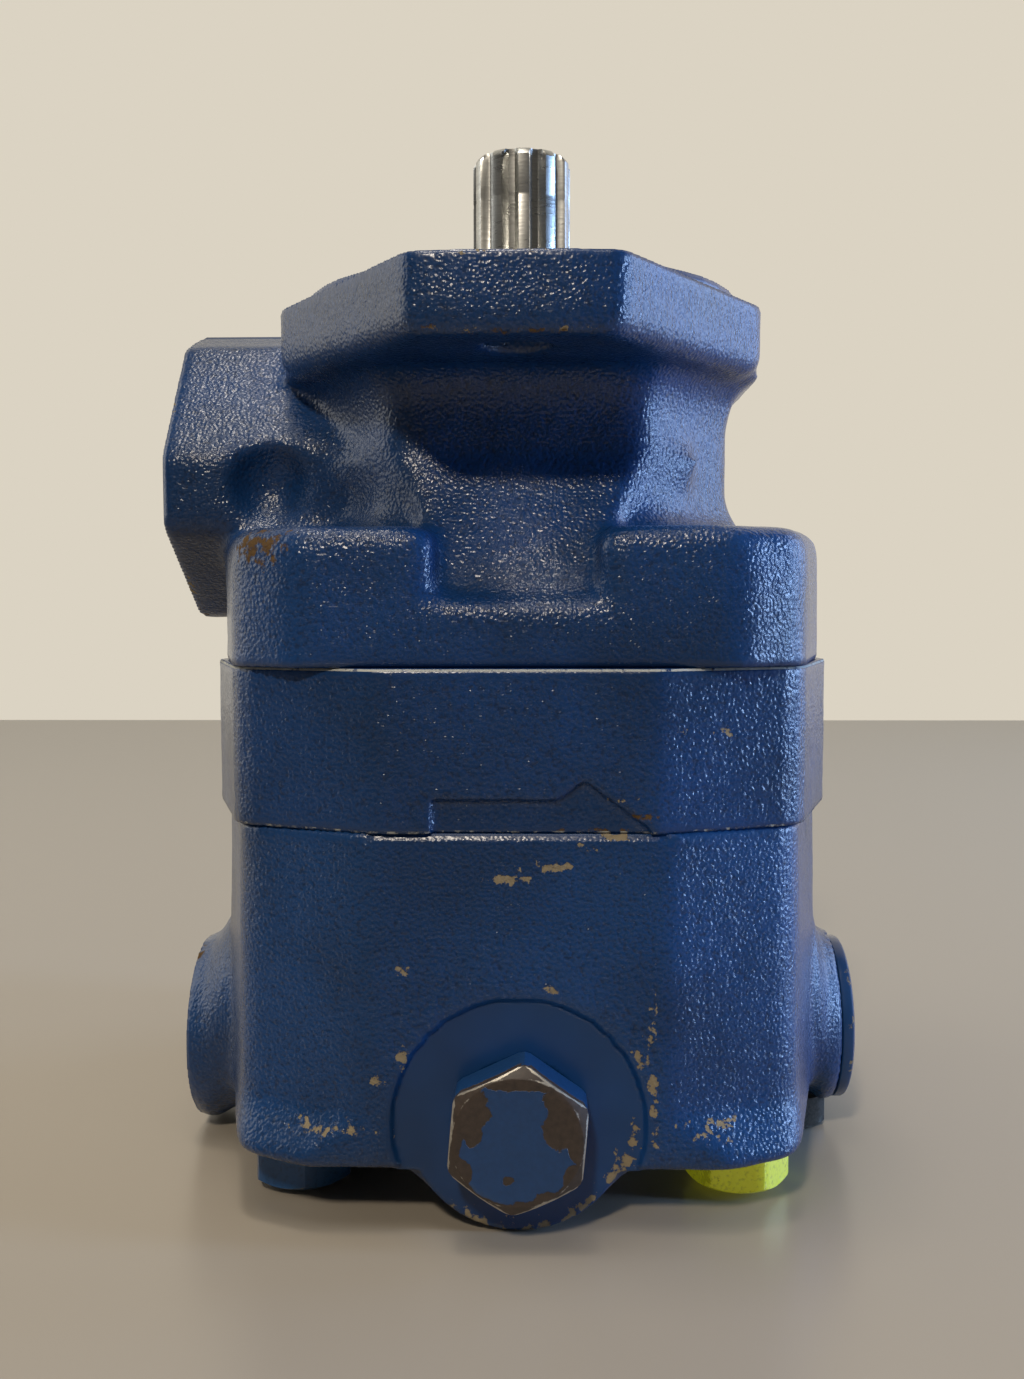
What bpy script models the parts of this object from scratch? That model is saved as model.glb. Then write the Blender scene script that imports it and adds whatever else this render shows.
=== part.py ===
"""Hydraulic vane pump, standing on its outlet cover with the shaft end up.

Lengths are written in millimetres and turned to metres once, in mm(). +Z is up
along the shaft, the mounting flange ears point along Y, the inlet port opens at
-X, and the origin lies under the shaft on the surface that the pump stands on.
"""
import math

import bmesh
import bpy
from mathutils import Matrix, Vector

# Overall stack along the shaft
SHAFT_END_Z = 185.2
FLANGE_FACE_Z = 152.1
FLANGE_THICKNESS = 12.5
PILOT_HEIGHT = 5.2
JOINT_BODY_Z = 90.0
JOINT_COVER_Z = 64.1
COVER_BOTTOM_Z = 10.0

# Mounting flange, two bolt
PILOT_RADIUS = 41.275
EAR_REACH = 65.1
EAR_HALF_WIDTH = 16.3
FLANGE_CORNER_X = 42.9
FLANGE_CORNER_Y = 24.0
FLANGE_BOLT_Y = 53.2
FLANGE_BOLT_RADIUS = 5.55

# Castings
BODY_HALF_WIDTH = 54.3
BODY_FRONT = 56.2
RING_HALF_WIDTH = 55.8
RING_FRONT = 58.2
COVER_HALF_WIDTH = 54.2
COVER_FRONT = 57.9
SIDE_CORNER_Y = 18.0
NECK_HALF_WIDTH = 38.0
LOBE_TOP_Z = 112.5
LOBE_GAP_HALF = 12.8
RECESS_Z = 100.7

# Inlet port
INLET_FACE_X = -63.3
INLET_Z = 125.0
INLET_BORE_RADIUS = 19.0

# Outlet cover ports and valve
PORT_Z = 19.2
PORT_Y = -6.8
OUTLET_FACE_X = -61.6
OUTLET_BORE_RADIUS = 12.6
SIDE_FACE_X = 58.8
SIDE_BORE_RADIUS = 9.6
VALVE_Z = 17.8
VALVE_BORE_RADIUS = 9.0
VALVE_FACE_Y = -57.2
VALVE_BOSS_RADIUS = 18.2
VALVE_SPOT_RADIUS = 20.4
PLUG_HEX_FLATS = 20.9
PLUG_HEX_HEIGHT = 7.9

# Assembly bolts
BOLT_X = 37.5
BOLT_Y = 37.5
BOLT_RADIUS = 5.56
BOLT_HEX_FLATS = 15.875
BOLT_HEAD_HEIGHT = 8.4

# Rotating group
SPLINE_TEETH = 11
SPLINE_MAJOR_RADIUS = 9.32
SPLINE_MINOR_RADIUS = 7.75
SEAL_JOURNAL_RADIUS = 11.1
BUSH_JOURNAL_RADIUS = 10.5
ROTOR_SPLINE_RADIUS = 9.6
VANE_COUNT = 12
VANE_THICKNESS = 1.8
VANE_FIRST_ANGLE = 15.0
ROTOR_RADIUS = 28.3
VANE_TIP_RADIUS = 28.6
CAM_MINOR_RADIUS = 29.1
CAM_MAJOR_RADIUS = 32.5

# Shaft bearing, 25 x 52 x 15
BEARING_BORE_RADIUS = 12.5
BEARING_OUTER_RADIUS = 26.0
BEARING_WIDTH = 15.0
BEARING_BASE_Z = 137.9
BALL_COUNT = 8
BALL_RADIUS = 3.97
BALL_PITCH_RADIUS = 19.25

# Fit gap between pieces that touch
GAP = 0.3


def mm(value):
    return value * 0.001


def clear_scene():
    for ob in list(bpy.data.objects):
        bpy.data.objects.remove(ob, do_unlink=True)


def material(name, colour, metallic, roughness):
    mat = bpy.data.materials.new(name)
    mat.use_nodes = True
    shader = mat.node_tree.nodes["Principled BSDF"]
    shader.inputs["Base Color"].default_value = (*colour, 1.0)
    shader.inputs["Metallic"].default_value = metallic
    shader.inputs["Roughness"].default_value = roughness
    return mat


PAINT = (0.012, 0.085, 0.33)
STEEL = (0.42, 0.40, 0.37)
DARK_STEEL = (0.16, 0.155, 0.15)
BRONZE = (0.45, 0.27, 0.11)
RUBBER = (0.012, 0.012, 0.012)
BRASS = (0.55, 0.40, 0.16)


def make_object(name, bm, colour, metallic=1.0, roughness=0.4, smooth=False):
    bmesh.ops.remove_doubles(bm, verts=bm.verts, dist=0.000005)
    bmesh.ops.recalc_face_normals(bm, faces=bm.faces)
    mesh = bpy.data.meshes.new(name)
    bm.to_mesh(mesh)
    bm.free()
    mesh.materials.append(material(name, colour, metallic, roughness))
    ob = bpy.data.objects.new(name, mesh)
    bpy.context.scene.collection.objects.link(ob)
    if smooth:
        smooth_by_angle(ob)
    return ob


def smooth_by_angle(ob, limit=35.0):
    mesh = ob.data
    for poly in mesh.polygons:
        poly.use_smooth = True
    bm = bmesh.new()
    bm.from_mesh(mesh)
    for edge in bm.edges:
        if len(edge.link_faces) == 2:
            edge.smooth = edge.calc_face_angle(0.0) < math.radians(limit)
    bm.to_mesh(mesh)
    bm.free()


def add_loft(bm, rings, closed=False):
    """Join rings of equal point count with quads; cap both ends unless closed."""
    made = []
    for ring in rings:
        made.append([bm.verts.new((mm(x), mm(y), mm(z))) for x, y, z in ring])
    count = len(made[0])
    pairs = list(zip(made, made[1:]))
    if closed:
        pairs.append((made[-1], made[0]))
    for lower, upper in pairs:
        for i in range(count):
            j = (i + 1) % count
            bm.faces.new((lower[i], lower[j], upper[j], upper[i]))
    if not closed:
        bm.faces.new(list(reversed(made[0])))
        bm.faces.new(made[-1])


def add_lathe(bm, profile, segments=48, closed=False, axis="Z", centre=(0.0, 0.0, 0.0)):
    """Turn a profile of (radius, height) points about an axis."""
    turned = []
    for radius, height in profile:
        if radius <= 0.0 and not closed:
            turned.append([bm.verts.new(place(0.0, 0.0, height, axis, centre))])
            continue
        row = []
        for i in range(segments):
            a = 2.0 * math.pi * i / segments
            row.append(bm.verts.new(
                place(radius * math.cos(a), radius * math.sin(a), height, axis, centre)))
        turned.append(row)
    pairs = list(zip(turned, turned[1:]))
    if closed:
        pairs.append((turned[-1], turned[0]))
    for a_row, b_row in pairs:
        for i in range(segments):
            j = (i + 1) % segments
            if len(a_row) == 1 and len(b_row) == 1:
                continue
            if len(a_row) == 1:
                bm.faces.new((a_row[0], b_row[j], b_row[i]))
            elif len(b_row) == 1:
                bm.faces.new((a_row[i], a_row[j], b_row[0]))
            else:
                bm.faces.new((a_row[i], a_row[j], b_row[j], b_row[i]))
    if not closed:
        if len(turned[0]) > 1:
            bm.faces.new(list(reversed(turned[0])))
        if len(turned[-1]) > 1:
            bm.faces.new(turned[-1])


def place(u, v, w, axis, centre):
    """Put a turned point on the chosen axis; w runs along that axis."""
    cx, cy, cz = centre
    if axis == "X":
        return (mm(cx + w), mm(cy + u), mm(cz + v))
    if axis == "Y":
        return (mm(cx + v), mm(cy + w), mm(cz + u))
    return (mm(cx + u), mm(cy + v), mm(cz + w))


def add_prism(bm, outline, z0, z1):
    add_loft(bm, [[(x, y, z0) for x, y in outline], [(x, y, z1) for x, y in outline]])


def rounded(points, radii, steps=3):
    """Round each corner of a closed polygon with an arc of its own radius."""
    out = []
    count = len(points)
    for i, corner in enumerate(points):
        p = Vector(corner)
        a = Vector(points[i - 1]) - p
        b = Vector(points[(i + 1) % count]) - p
        radius = radii[i] if isinstance(radii, (list, tuple)) else radii
        if radius <= 0.0:
            out.append((p.x, p.y))
            continue
        half = a.angle(b) / 2.0
        reach = min(radius / math.tan(half), 0.49 * a.length, 0.49 * b.length)
        radius = reach * math.tan(half)
        middle = p + (a.normalized() + b.normalized()).normalized() * (radius / math.sin(half))
        start = p + a.normalized() * reach
        end = p + b.normalized() * reach
        a0 = math.atan2(start.y - middle.y, start.x - middle.x)
        a1 = math.atan2(end.y - middle.y, end.x - middle.x)
        turn = (a1 - a0 + math.pi) % (2.0 * math.pi) - math.pi
        for k in range(steps + 1):
            t = a0 + turn * k / steps
            out.append((middle.x + radius * math.cos(t), middle.y + radius * math.sin(t)))
    return out


def offset(outline, distance):
    """Move every point of an anticlockwise outline outward by a distance."""
    out = []
    count = len(outline)
    for i in range(count):
        p = Vector(outline[i])
        before = (p - Vector(outline[i - 1])).normalized()
        after = (Vector(outline[(i + 1) % count]) - p).normalized()
        n0 = Vector((before.y, -before.x))
        n1 = Vector((after.y, -after.x))
        n = (n0 + n1).normalized()
        scale = distance / max(0.5, n.dot(n0))
        out.append((p.x + n.x * scale, p.y + n.y * scale))
    return out


def four_way(corner_points, radii, steps=2):
    """Mirror the points of the +X -Y quarter into a whole anticlockwise outline.

    The quarter is given from the front centre round to the right hand side."""
    quarter = list(corner_points)
    right = quarter + [(x, -y) for x, y in reversed(quarter)]
    whole = right + [(-x, y) for x, y in reversed(right)]
    r = list(radii)
    r = r + r[::-1]
    r = r + r[::-1]
    return rounded(whole, r, steps)


def body_outline(grow=0.0):
    w = BODY_HALF_WIDTH + grow
    f = BODY_FRONT + grow
    return four_way([(35.5, -f), (46.3 + grow, -f + 7.2), (w, -SIDE_CORNER_Y)], [7.0, 8.0, 8.0])


def ring_outline(grow=0.0):
    w = RING_HALF_WIDTH + grow
    f = RING_FRONT + grow
    return four_way([(22.3, -f), (46.2 + grow, -f + 10.0), (w, -SIDE_CORNER_Y)], [6.0, 7.0, 9.0])


def cover_outline(grow=0.0):
    w = COVER_HALF_WIDTH + grow
    f = COVER_FRONT + grow
    return four_way([(24.0, -f), (45.6 + grow, -f + 10.0), (w, -SIDE_CORNER_Y)], [6.0, 7.0, 9.0])


def foot_outline(grow=0.0):
    """Squarer outline of the cover's bolt seats, at its lower end."""
    w = COVER_HALF_WIDTH + grow
    f = COVER_FRONT + 0.6 + grow
    return four_way([(34.0, -f), (46.0 + grow, -f + 5.6), (w, -SIDE_CORNER_Y)], [6.0, 7.0, 9.0])


def cam_radius(angle):
    """Cam track radius: dwells at the minor and major axes, smooth rise between."""
    s = 0.5 - 0.5 * math.cos(2.0 * angle)
    s = s * s * (3.0 - 2.0 * s)
    return CAM_MINOR_RADIUS + (CAM_MAJOR_RADIUS - CAM_MINOR_RADIUS) * s


def sector(r0, r1, a0, a1, steps=6):
    """Anticlockwise outline of a ring sector between two angles in degrees."""
    out = []
    for k in range(steps + 1):
        a = math.radians(a0 + (a1 - a0) * k / steps)
        out.append((r1 * math.cos(a), r1 * math.sin(a)))
    for k in range(steps + 1):
        a = math.radians(a1 + (a0 - a1) * k / steps)
        out.append((r0 * math.cos(a), r0 * math.sin(a)))
    return out


def hexagon(flats, turn=0.0):
    r = flats / math.sqrt(3.0)
    out = []
    for k in range(6):
        a = math.radians(60.0 * k + turn)
        out.append((r * math.cos(a), r * math.sin(a)))
    return out


def apply_boolean(ob, bm, operation):
    """Combine a solid held in bm with an object, then drop the helper solid."""
    bmesh.ops.remove_doubles(bm, verts=bm.verts, dist=0.000005)
    bmesh.ops.recalc_face_normals(bm, faces=bm.faces)
    mesh = bpy.data.meshes.new("helper")
    bm.to_mesh(mesh)
    bm.free()
    helper = bpy.data.objects.new("helper", mesh)
    bpy.context.scene.collection.objects.link(helper)
    mod = ob.modifiers.new("combine", "BOOLEAN")
    mod.operation = operation
    mod.solver = "EXACT"
    mod.object = helper
    graph = bpy.context.evaluated_depsgraph_get()
    graph.update()
    result = bpy.data.meshes.new_from_object(ob.evaluated_get(graph))
    ob.modifiers.clear()
    old = ob.data
    result.name = ob.name
    ob.data = result
    while len(result.materials) > 1:
        result.materials.pop()
    bpy.data.meshes.remove(old)
    bpy.data.objects.remove(helper, do_unlink=True)
    bpy.data.meshes.remove(mesh)


def finish_solid(ob):
    """Merge slivers left by the cuts and drop points that carry no corner."""
    bm = bmesh.new()
    bm.from_mesh(ob.data)
    bmesh.ops.remove_doubles(bm, verts=bm.verts, dist=0.00002)
    bmesh.ops.dissolve_degenerate(bm, edges=bm.edges, dist=0.00001)
    bmesh.ops.dissolve_limit(
        bm, angle_limit=math.radians(0.6), verts=bm.verts, edges=bm.edges)
    bmesh.ops.triangulate(bm, faces=[f for f in bm.faces if len(f.verts) > 4])
    bmesh.ops.recalc_face_normals(bm, faces=bm.faces)
    bm.to_mesh(ob.data)
    bm.free()
    for poly in ob.data.polygons:
        poly.material_index = 0


def cut(ob, build):
    bm = bmesh.new()
    build(bm)
    apply_boolean(ob, bm, "DIFFERENCE")


def join(ob, build):
    bm = bmesh.new()
    build(bm)
    apply_boolean(ob, bm, "UNION")


# Pump body


def lobe_outline(sx, sy, inset):
    """One bolt boss of the body: the body outline kept to one quarter."""
    g = LOBE_GAP_HALF + inset
    w = BODY_HALF_WIDTH - inset
    f = BODY_FRONT - inset
    pts = [(g, -30.0), (g, -f), (35.5, -f), (46.3 - inset, -f + 7.2),
           (w - 0.6, -SIDE_CORNER_Y - 3.0), (w - 0.6, -g - 1.0), (30.0, -g - 1.0)]
    out = rounded(pts, [0.0, 3.0, 7.0, 8.0, 3.0, 3.0, 0.0], 2)
    out = [(x * sx, y * sy) for x, y in out]
    if sx * sy < 0:
        out.reverse()
    return out


def neck_outline(grow=0.0):
    w = NECK_HALF_WIDTH + grow
    return four_way([(21.5 + grow * 0.5, -w), (w, -15.5 - grow * 0.5)], [7.0, 7.0])


def flange_outline(grow=0.0):
    e = EAR_REACH + grow * 0.3
    h = EAR_HALF_WIDTH + grow * 0.4
    cx = FLANGE_CORNER_X + grow
    quarter = [(h * 0.5, -e), (h, -e + 0.7), (cx, -FLANGE_CORNER_Y)]
    return four_way(quarter, [9.0, 3.5, 8.0])


def inlet_outline(grow=0.0):
    """Inlet boss seen along X, as (Y, Z) points."""
    half = [(0.0, 152.2), (-10.0, 148.4), (-27.4, 126.5), (-27.2, 113.4), (0.0, 96.2)]
    other = [(-y, z) for y, z in reversed(half[1:-1])]
    pts = half + other
    pts = rounded(pts, [6.0, 5.0, 5.0, 4.0, 6.0, 4.0, 5.0, 5.0], 2)
    return offset(pts, grow)


def build_body():
    base = body_outline()
    z0 = JOINT_BODY_Z + GAP / 2.0
    bm = bmesh.new()
    add_loft(bm, [
        [(x, y, z0) for x, y in base],
        [(x, y, RECESS_Z - 0.8) for x, y in base],
        [(x, y, RECESS_Z) for x, y in body_outline(-0.8)]])
    body = make_object("pump_body", bm, PAINT, 0.0, 0.35)
    neck_bottom = 96.0
    under = FLANGE_FACE_Z - FLANGE_THICKNESS

    def neck(b):
        levels = [(neck_bottom, 0.0), (132.4, 0.0), (136.4, 1.0), (138.8, 2.8),
                  (under + 1.6, 6.0)]
        add_loft(b, [[(x, y, z) for x, y in neck_outline(g)] for z, g in levels])

    def lobes(b):
        levels = [(95.0, 0.0), (LOBE_TOP_Z - 3.0, 0.0), (LOBE_TOP_Z - 0.8, 0.9),
                  (LOBE_TOP_Z, 3.0)]
        for sx in (-1, 1):
            for sy in (-1, 1):
                add_loft(b, [
                    [(x, y, z) for x, y in lobe_outline(sx, sy, i)] for z, i in levels])

    def ramps(b):
        f = BODY_FRONT
        g = LOBE_GAP_HALF
        levels = [(98.0, f - 1.2, g + 1.0, g + 2.0), (RECESS_Z - 0.4, f - 1.2, g + 1.0, g + 2.0),
                  (RECESS_Z + 1.6, f - 4.6, g + 1.0, g + 4.0), (112.0, f - 11.0, g + 2.0, g + 10.0),
                  (119.0, f - 15.4, g + 5.0, g + 17.0), (126.0, f - 18.6, g + 9.0, g + 21.0)]
        for s in (-1, 1):
            rows = [[(-back, s * 28.0, z), (-front, s * y, z), (front, s * y, z),
                     (back, s * 28.0, z)] for z, y, front, back in levels]
            add_loft(b, rows)

    def side_ramp(b):
        w = BODY_HALF_WIDTH
        profile = [(w - 1.0, 98.0), (w - 1.0, RECESS_Z - 0.2), (w - 3.6, RECESS_Z + 1.0),
                   (41.6, 112.0),
                   (37.7, 118.6), (30.0, 118.6), (30.0, 98.0)]
        g = LOBE_GAP_HALF + 2.0
        add_loft(b, [[(x, -g, z) for x, z in profile], [(x, g, z) for x, z in profile]])

    def lobe_fillets(b):
        levels = [(LOBE_TOP_Z - 1.6, 4.4), (LOBE_TOP_Z + 0.4, 2.6),
                  (LOBE_TOP_Z + 2.2, 1.1), (LOBE_TOP_Z + 5.4, -0.5)]
        add_loft(b, [[(x, y, z) for x, y in neck_outline(g)] for z, g in levels])

    def flange(b):
        levels = [(under, -4.0), (under + 0.9, -1.7), (under + 2.4, -0.4), (under + 4.0, 0.0),
                  (FLANGE_FACE_Z - 0.5, 0.0), (FLANGE_FACE_Z, -0.5)]
        add_loft(b, [[(x, y, z) for x, y in flange_outline(g)] for z, g in levels])

    def pilot(b):
        top = FLANGE_FACE_Z + PILOT_HEIGHT
        add_lathe(b, [(PILOT_RADIUS, FLANGE_FACE_Z - 4.0), (PILOT_RADIUS, top - 0.9),
                      (PILOT_RADIUS - 0.9, top)], 48)

    def inlet(b):
        steps = [(INLET_FACE_X, -1.0), (INLET_FACE_X + 1.0, 0.0), (-28.0, 0.0)]
        add_loft(b, [[(x, y, z) for y, z in inlet_outline(g)] for x, g in steps])

    for part in (neck, lobes, ramps, side_ramp, lobe_fillets, flange, pilot, inlet):
        join(body, part)

    def inlet_hollows(b):
        for s in (-1, 1):
            bmesh.ops.create_uvsphere(
                b, u_segments=10, v_segments=7, radius=mm(8.6),
                matrix=Matrix.Translation((mm(-44.0), mm(s * 30.0), mm(121.5))))

    def bores(b):
        top = FLANGE_FACE_Z + PILOT_HEIGHT + 2.0
        groove = BEARING_BASE_Z + BEARING_WIDTH + GAP
        r = BEARING_OUTER_RADIUS + GAP
        add_lathe(b, [
            (13.3, z0 - 3.0), (13.3, 108.0), (SEAL_JOURNAL_RADIUS + 0.7, 108.4),
            (SEAL_JOURNAL_RADIUS + 0.7, 126.0), (20.3, 126.0),
            (20.3, BEARING_BASE_Z - GAP), (r, BEARING_BASE_Z - GAP), (r, groove),
            (r + 1.7, groove), (r + 1.7, groove + 1.9), (r, groove + 1.9),
            (r, top - 2.9), (r + 0.9, top - 1.9), (r + 0.9, top)], 36)

    def chamber(b):
        add_lathe(b, [(17.0, 98.5), (33.5, 98.5), (33.5, 111.5), (17.0, 111.5)],
                  28, closed=True)

    def kidneys(b):
        for a in (0.0, 180.0):
            add_prism(b, sector(20.5, 29.5, a - 27.0, a + 27.0, 4), z0 - 3.0, 99.5)

    def inlet_bore(b):
        add_lathe(b, [
            (INLET_BORE_RADIUS + 1.2, -70.0), (INLET_BORE_RADIUS + 1.2, INLET_FACE_X),
            (INLET_BORE_RADIUS, INLET_FACE_X + 1.2), (INLET_BORE_RADIUS, -41.0),
            (INLET_BORE_RADIUS - 3.0, -38.5)],
            36, axis="X", centre=(0.0, 0.0, INLET_Z))

    def inlet_drop(b):
        pts = rounded([(-47.0, -13.0), (-32.0, -13.0), (-32.0, 13.0), (-47.0, 13.0)], 4.0, 3)
        add_prism(b, pts, 99.3, 133.0)

    def bolt_holes(b):
        for sx in (-1, 1):
            for sy in (-1, 1):
                add_lathe(b, [(BOLT_RADIUS + GAP, z0 - 3.0), (BOLT_RADIUS + GAP, 106.5),
                              (0.0, 109.0)], 20,
                          centre=(sx * BOLT_X, sy * BOLT_Y, 0.0))

    def flange_holes(b):
        for s in (-1, 1):
            r = FLANGE_BOLT_RADIUS
            add_lathe(b, [
                (r + 3.0, under - 4.0), (r + 3.0, under - 1.2), (r, under + 0.25),
                (r, FLANGE_FACE_Z - 0.6), (r + 1.4, FLANGE_FACE_Z + 0.8)],
                28, centre=(0.0, s * FLANGE_BOLT_Y, 0.0))

    def seal_groove(b):
        add_lathe(b, [(38.5, z0 - 1.0), (41.5, z0 - 1.0), (41.5, z0 + 2.0),
                      (38.5, z0 + 2.0)], 36, closed=True)

    def pin_holes(b):
        for s in (-1, 1):
            add_lathe(b, [(3.2, z0 - 2.0), (3.2, 97.5)], 16, centre=(0.0, s * 46.5, 0.0))

    for part in (inlet_hollows, pin_holes, bolt_holes, bores, chamber, kidneys, inlet_bore, inlet_drop,
                 flange_holes, seal_groove):
        cut(body, part)
    finish_solid(body)
    smooth_by_angle(body, 30.0)
    return body


# Cam ring


def build_cam_ring():
    z0 = JOINT_COVER_Z + GAP / 2.0
    z1 = JOINT_BODY_Z - GAP / 2.0
    bm = bmesh.new()
    levels = [(z0, -0.3), (z0 + 0.3, 0.0), (z1 - 0.3, 0.0), (z1, -0.3)]
    add_loft(bm, [[(x, y, z) for x, y in ring_outline(g)] for z, g in levels])
    ring = make_object("cam_ring", bm, PAINT, 0.0, 0.35)

    def track(b):
        pts = []
        for k in range(96):
            a = 2.0 * math.pi * k / 96
            r = cam_radius(a)
            pts.append((r * math.cos(a), r * math.sin(a)))
        add_prism(b, pts, z0 - 2.0, z1 + 2.0)

    def bolt_holes(b):
        for sx in (-1, 1):
            for sy in (-1, 1):
                add_lathe(b, [(BOLT_RADIUS + GAP, z0 - 3.0), (BOLT_RADIUS + GAP, z1 + 3.0)],
                          20, centre=(sx * BOLT_X, sy * BOLT_Y, 0.0))

    def pin_holes(b):
        for s in (-1, 1):
            add_lathe(b, [(3.2, z0 - 2.0), (3.2, z1 + 2.0)], 16,
                      centre=(0.0, s * 46.5, 0.0))

    def arrow(b):
        pts = [(-13.4, z0 - 2.0), (21.2, z0 - 2.0), (21.2, z0 + 0.4), (10.6, z0 + 8.2),
               (6.6, z0 + 5.2), (-13.4, z0 + 5.2)]
        add_loft(b, [[(x, -RING_FRONT - 3.0, z) for x, z in pts],
                     [(x, -RING_FRONT + 1.2, z) for x, z in pts]])

    for part in (track, bolt_holes, pin_holes, arrow):
        cut(ring, part)
    finish_solid(ring)
    smooth_by_angle(ring, 30.0)
    return ring


# Outlet cover


def build_cover():
    top = JOINT_COVER_Z - GAP / 2.0
    bottom = COVER_BOTTOM_Z
    bm = bmesh.new()
    rows = [[(x, y, bottom) for x, y in foot_outline(-1.6)],
            [(x, y, bottom + 0.7) for x, y in foot_outline(-0.4)],
            [(x, y, bottom + 2.2) for x, y in foot_outline()],
            [(x, y, bottom + 8.6) for x, y in cover_outline(0.5)],
            [(x, y, top) for x, y in cover_outline(-0.2)]]
    add_loft(bm, rows)
    cover = make_object("outlet_cover", bm, PAINT, 0.0, 0.35)

    def valve_boss(b):
        r = VALVE_BOSS_RADIUS
        add_lathe(b, [(r - 1.2, VALVE_FACE_Y - 0.7), (r, VALVE_FACE_Y + 0.5),
                      (r, 48.0), (r - 2.5, 51.0)], 44, axis="Y",
                  centre=(0.3, 0.0, VALVE_BOSS_RADIUS))

    def boss_webs(b):
        pts = [(-25.0, 13.0), (-19.0, 10.2), (-14.5, 6.5), (15.1, 6.5), (19.6, 10.2), (25.6, 13.0)]
        add_loft(b, [[(x, -55.5, z) for x, z in pts], [(x, 46.0, z) for x, z in pts]])

    def side_boss(b, face, sign, r_face, r_base, z_face, z_base):
        x_in = sign * 30.0
        rows = [(x_in, r_base, z_base), (sign * 51.5, r_base, z_base),
                (sign * 54.5, r_base - 1.4, z_base - 1.0), (face - sign * 2.6, r_face + 0.4, z_face),
                (face - sign * 1.0, r_face, z_face), (face, r_face - 1.0, z_face)]
        rings = []
        for x, r, z in rows:
            row = []
            for k in range(28):
                a = 2.0 * math.pi * k / 28
                row.append((x, PORT_Y + r * math.cos(a), z + r * math.sin(a)))
            rings.append(row)
        add_loft(b, rings)

    def outlet_boss(b):
        side_boss(b, OUTLET_FACE_X, -1.0, 17.6, 21.6, 18.1, 24.0)

    def spare_boss(b):
        side_boss(b, SIDE_FACE_X, 1.0, 16.6, 20.5, 20.9, 26.6)

    for part in (valve_boss, boss_webs, outlet_boss, spare_boss):
        join(cover, part)

    def plate_pocket(b):
        add_lathe(b, [(25.5, 39.5), (25.5, 44.5), (34.4, 44.5), (34.4, top + 2.0)], 40)

    def valve_bore(b):
        r = VALVE_BORE_RADIUS
        add_lathe(b, [
            (VALVE_SPOT_RADIUS, VALVE_FACE_Y - 8.0), (VALVE_SPOT_RADIUS, VALVE_FACE_Y),
            (r + 1.3, VALVE_FACE_Y), (r + 0.9, VALVE_FACE_Y + 0.4),
            (r + 0.9, -43.4), (r, -42.6), (r, 35.0), (0.0, 37.5)],
            32, axis="Y", centre=(0.3, 0.0, VALVE_Z))

    def outlet_bore(b):
        r = OUTLET_BORE_RADIUS
        add_lathe(b, [(r + 1.3, -66.0), (r + 1.3, OUTLET_FACE_X), (r, OUTLET_FACE_X + 1.3),
                      (r, -42.0), (8.0, -39.5), (8.0, -5.0)],
                  28, axis="X", centre=(0.0, PORT_Y, PORT_Z))

    def spare_bore(b):
        r = SIDE_BORE_RADIUS
        add_lathe(b, [(r + 1.3, 66.0), (r + 1.3, SIDE_FACE_X), (r, SIDE_FACE_X - 1.3),
                      (r, 43.0), (6.5, 41.0), (6.5, 5.0)],
                  24, axis="X", centre=(0.0, PORT_Y, PORT_Z + 1.2))

    def lower_bore(b):
        add_lathe(b, [(11.6, -2.0), (11.6, 6.4), (4.6, 6.4), (4.6, 17.0)], 24,
                  centre=(48.8, -5.5, 0.0))

    def pressure_drop(b):
        add_lathe(b, [(5.5, 19.0), (5.5, 41.0)], 24, centre=(-17.5, PORT_Y, 0.0))

    def bolt_holes(b):
        for sx in (-1, 1):
            for sy in (-1, 1):
                add_lathe(b, [(BOLT_RADIUS + GAP, bottom - 3.0), (BOLT_RADIUS + GAP, top + 3.0)],
                          20, centre=(sx * BOLT_X, sy * BOLT_Y, 0.0))

    def seal_groove(b):
        add_lathe(b, [(38.5, top - 2.0), (41.5, top - 2.0), (41.5, top + 1.0),
                      (38.5, top + 1.0)], 36, closed=True)

    def pin_holes(b):
        for s in (-1, 1):
            add_lathe(b, [(3.2, 56.0), (3.2, top + 2.0)], 16, centre=(0.0, s * 46.5, 0.0))

    for part in (plate_pocket, valve_bore, outlet_bore, spare_bore, lower_bore,
                 pressure_drop, bolt_holes, seal_groove, pin_holes):
        cut(cover, part)
    finish_solid(cover)
    smooth_by_angle(cover, 30.0)
    return cover


# Shaft


def spline_row(major, minor, teeth, z):
    row = []
    for k in range(teeth):
        a = 2.0 * math.pi * (k + 0.36) / teeth
        step = 2.0 * math.pi / teeth
        for part, radius in ((-0.36, minor), (-0.17, major), (0.17, major), (0.36, minor)):
            t = a + part * step
            row.append((radius * math.cos(t), radius * math.sin(t), z))
    return row


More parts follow.
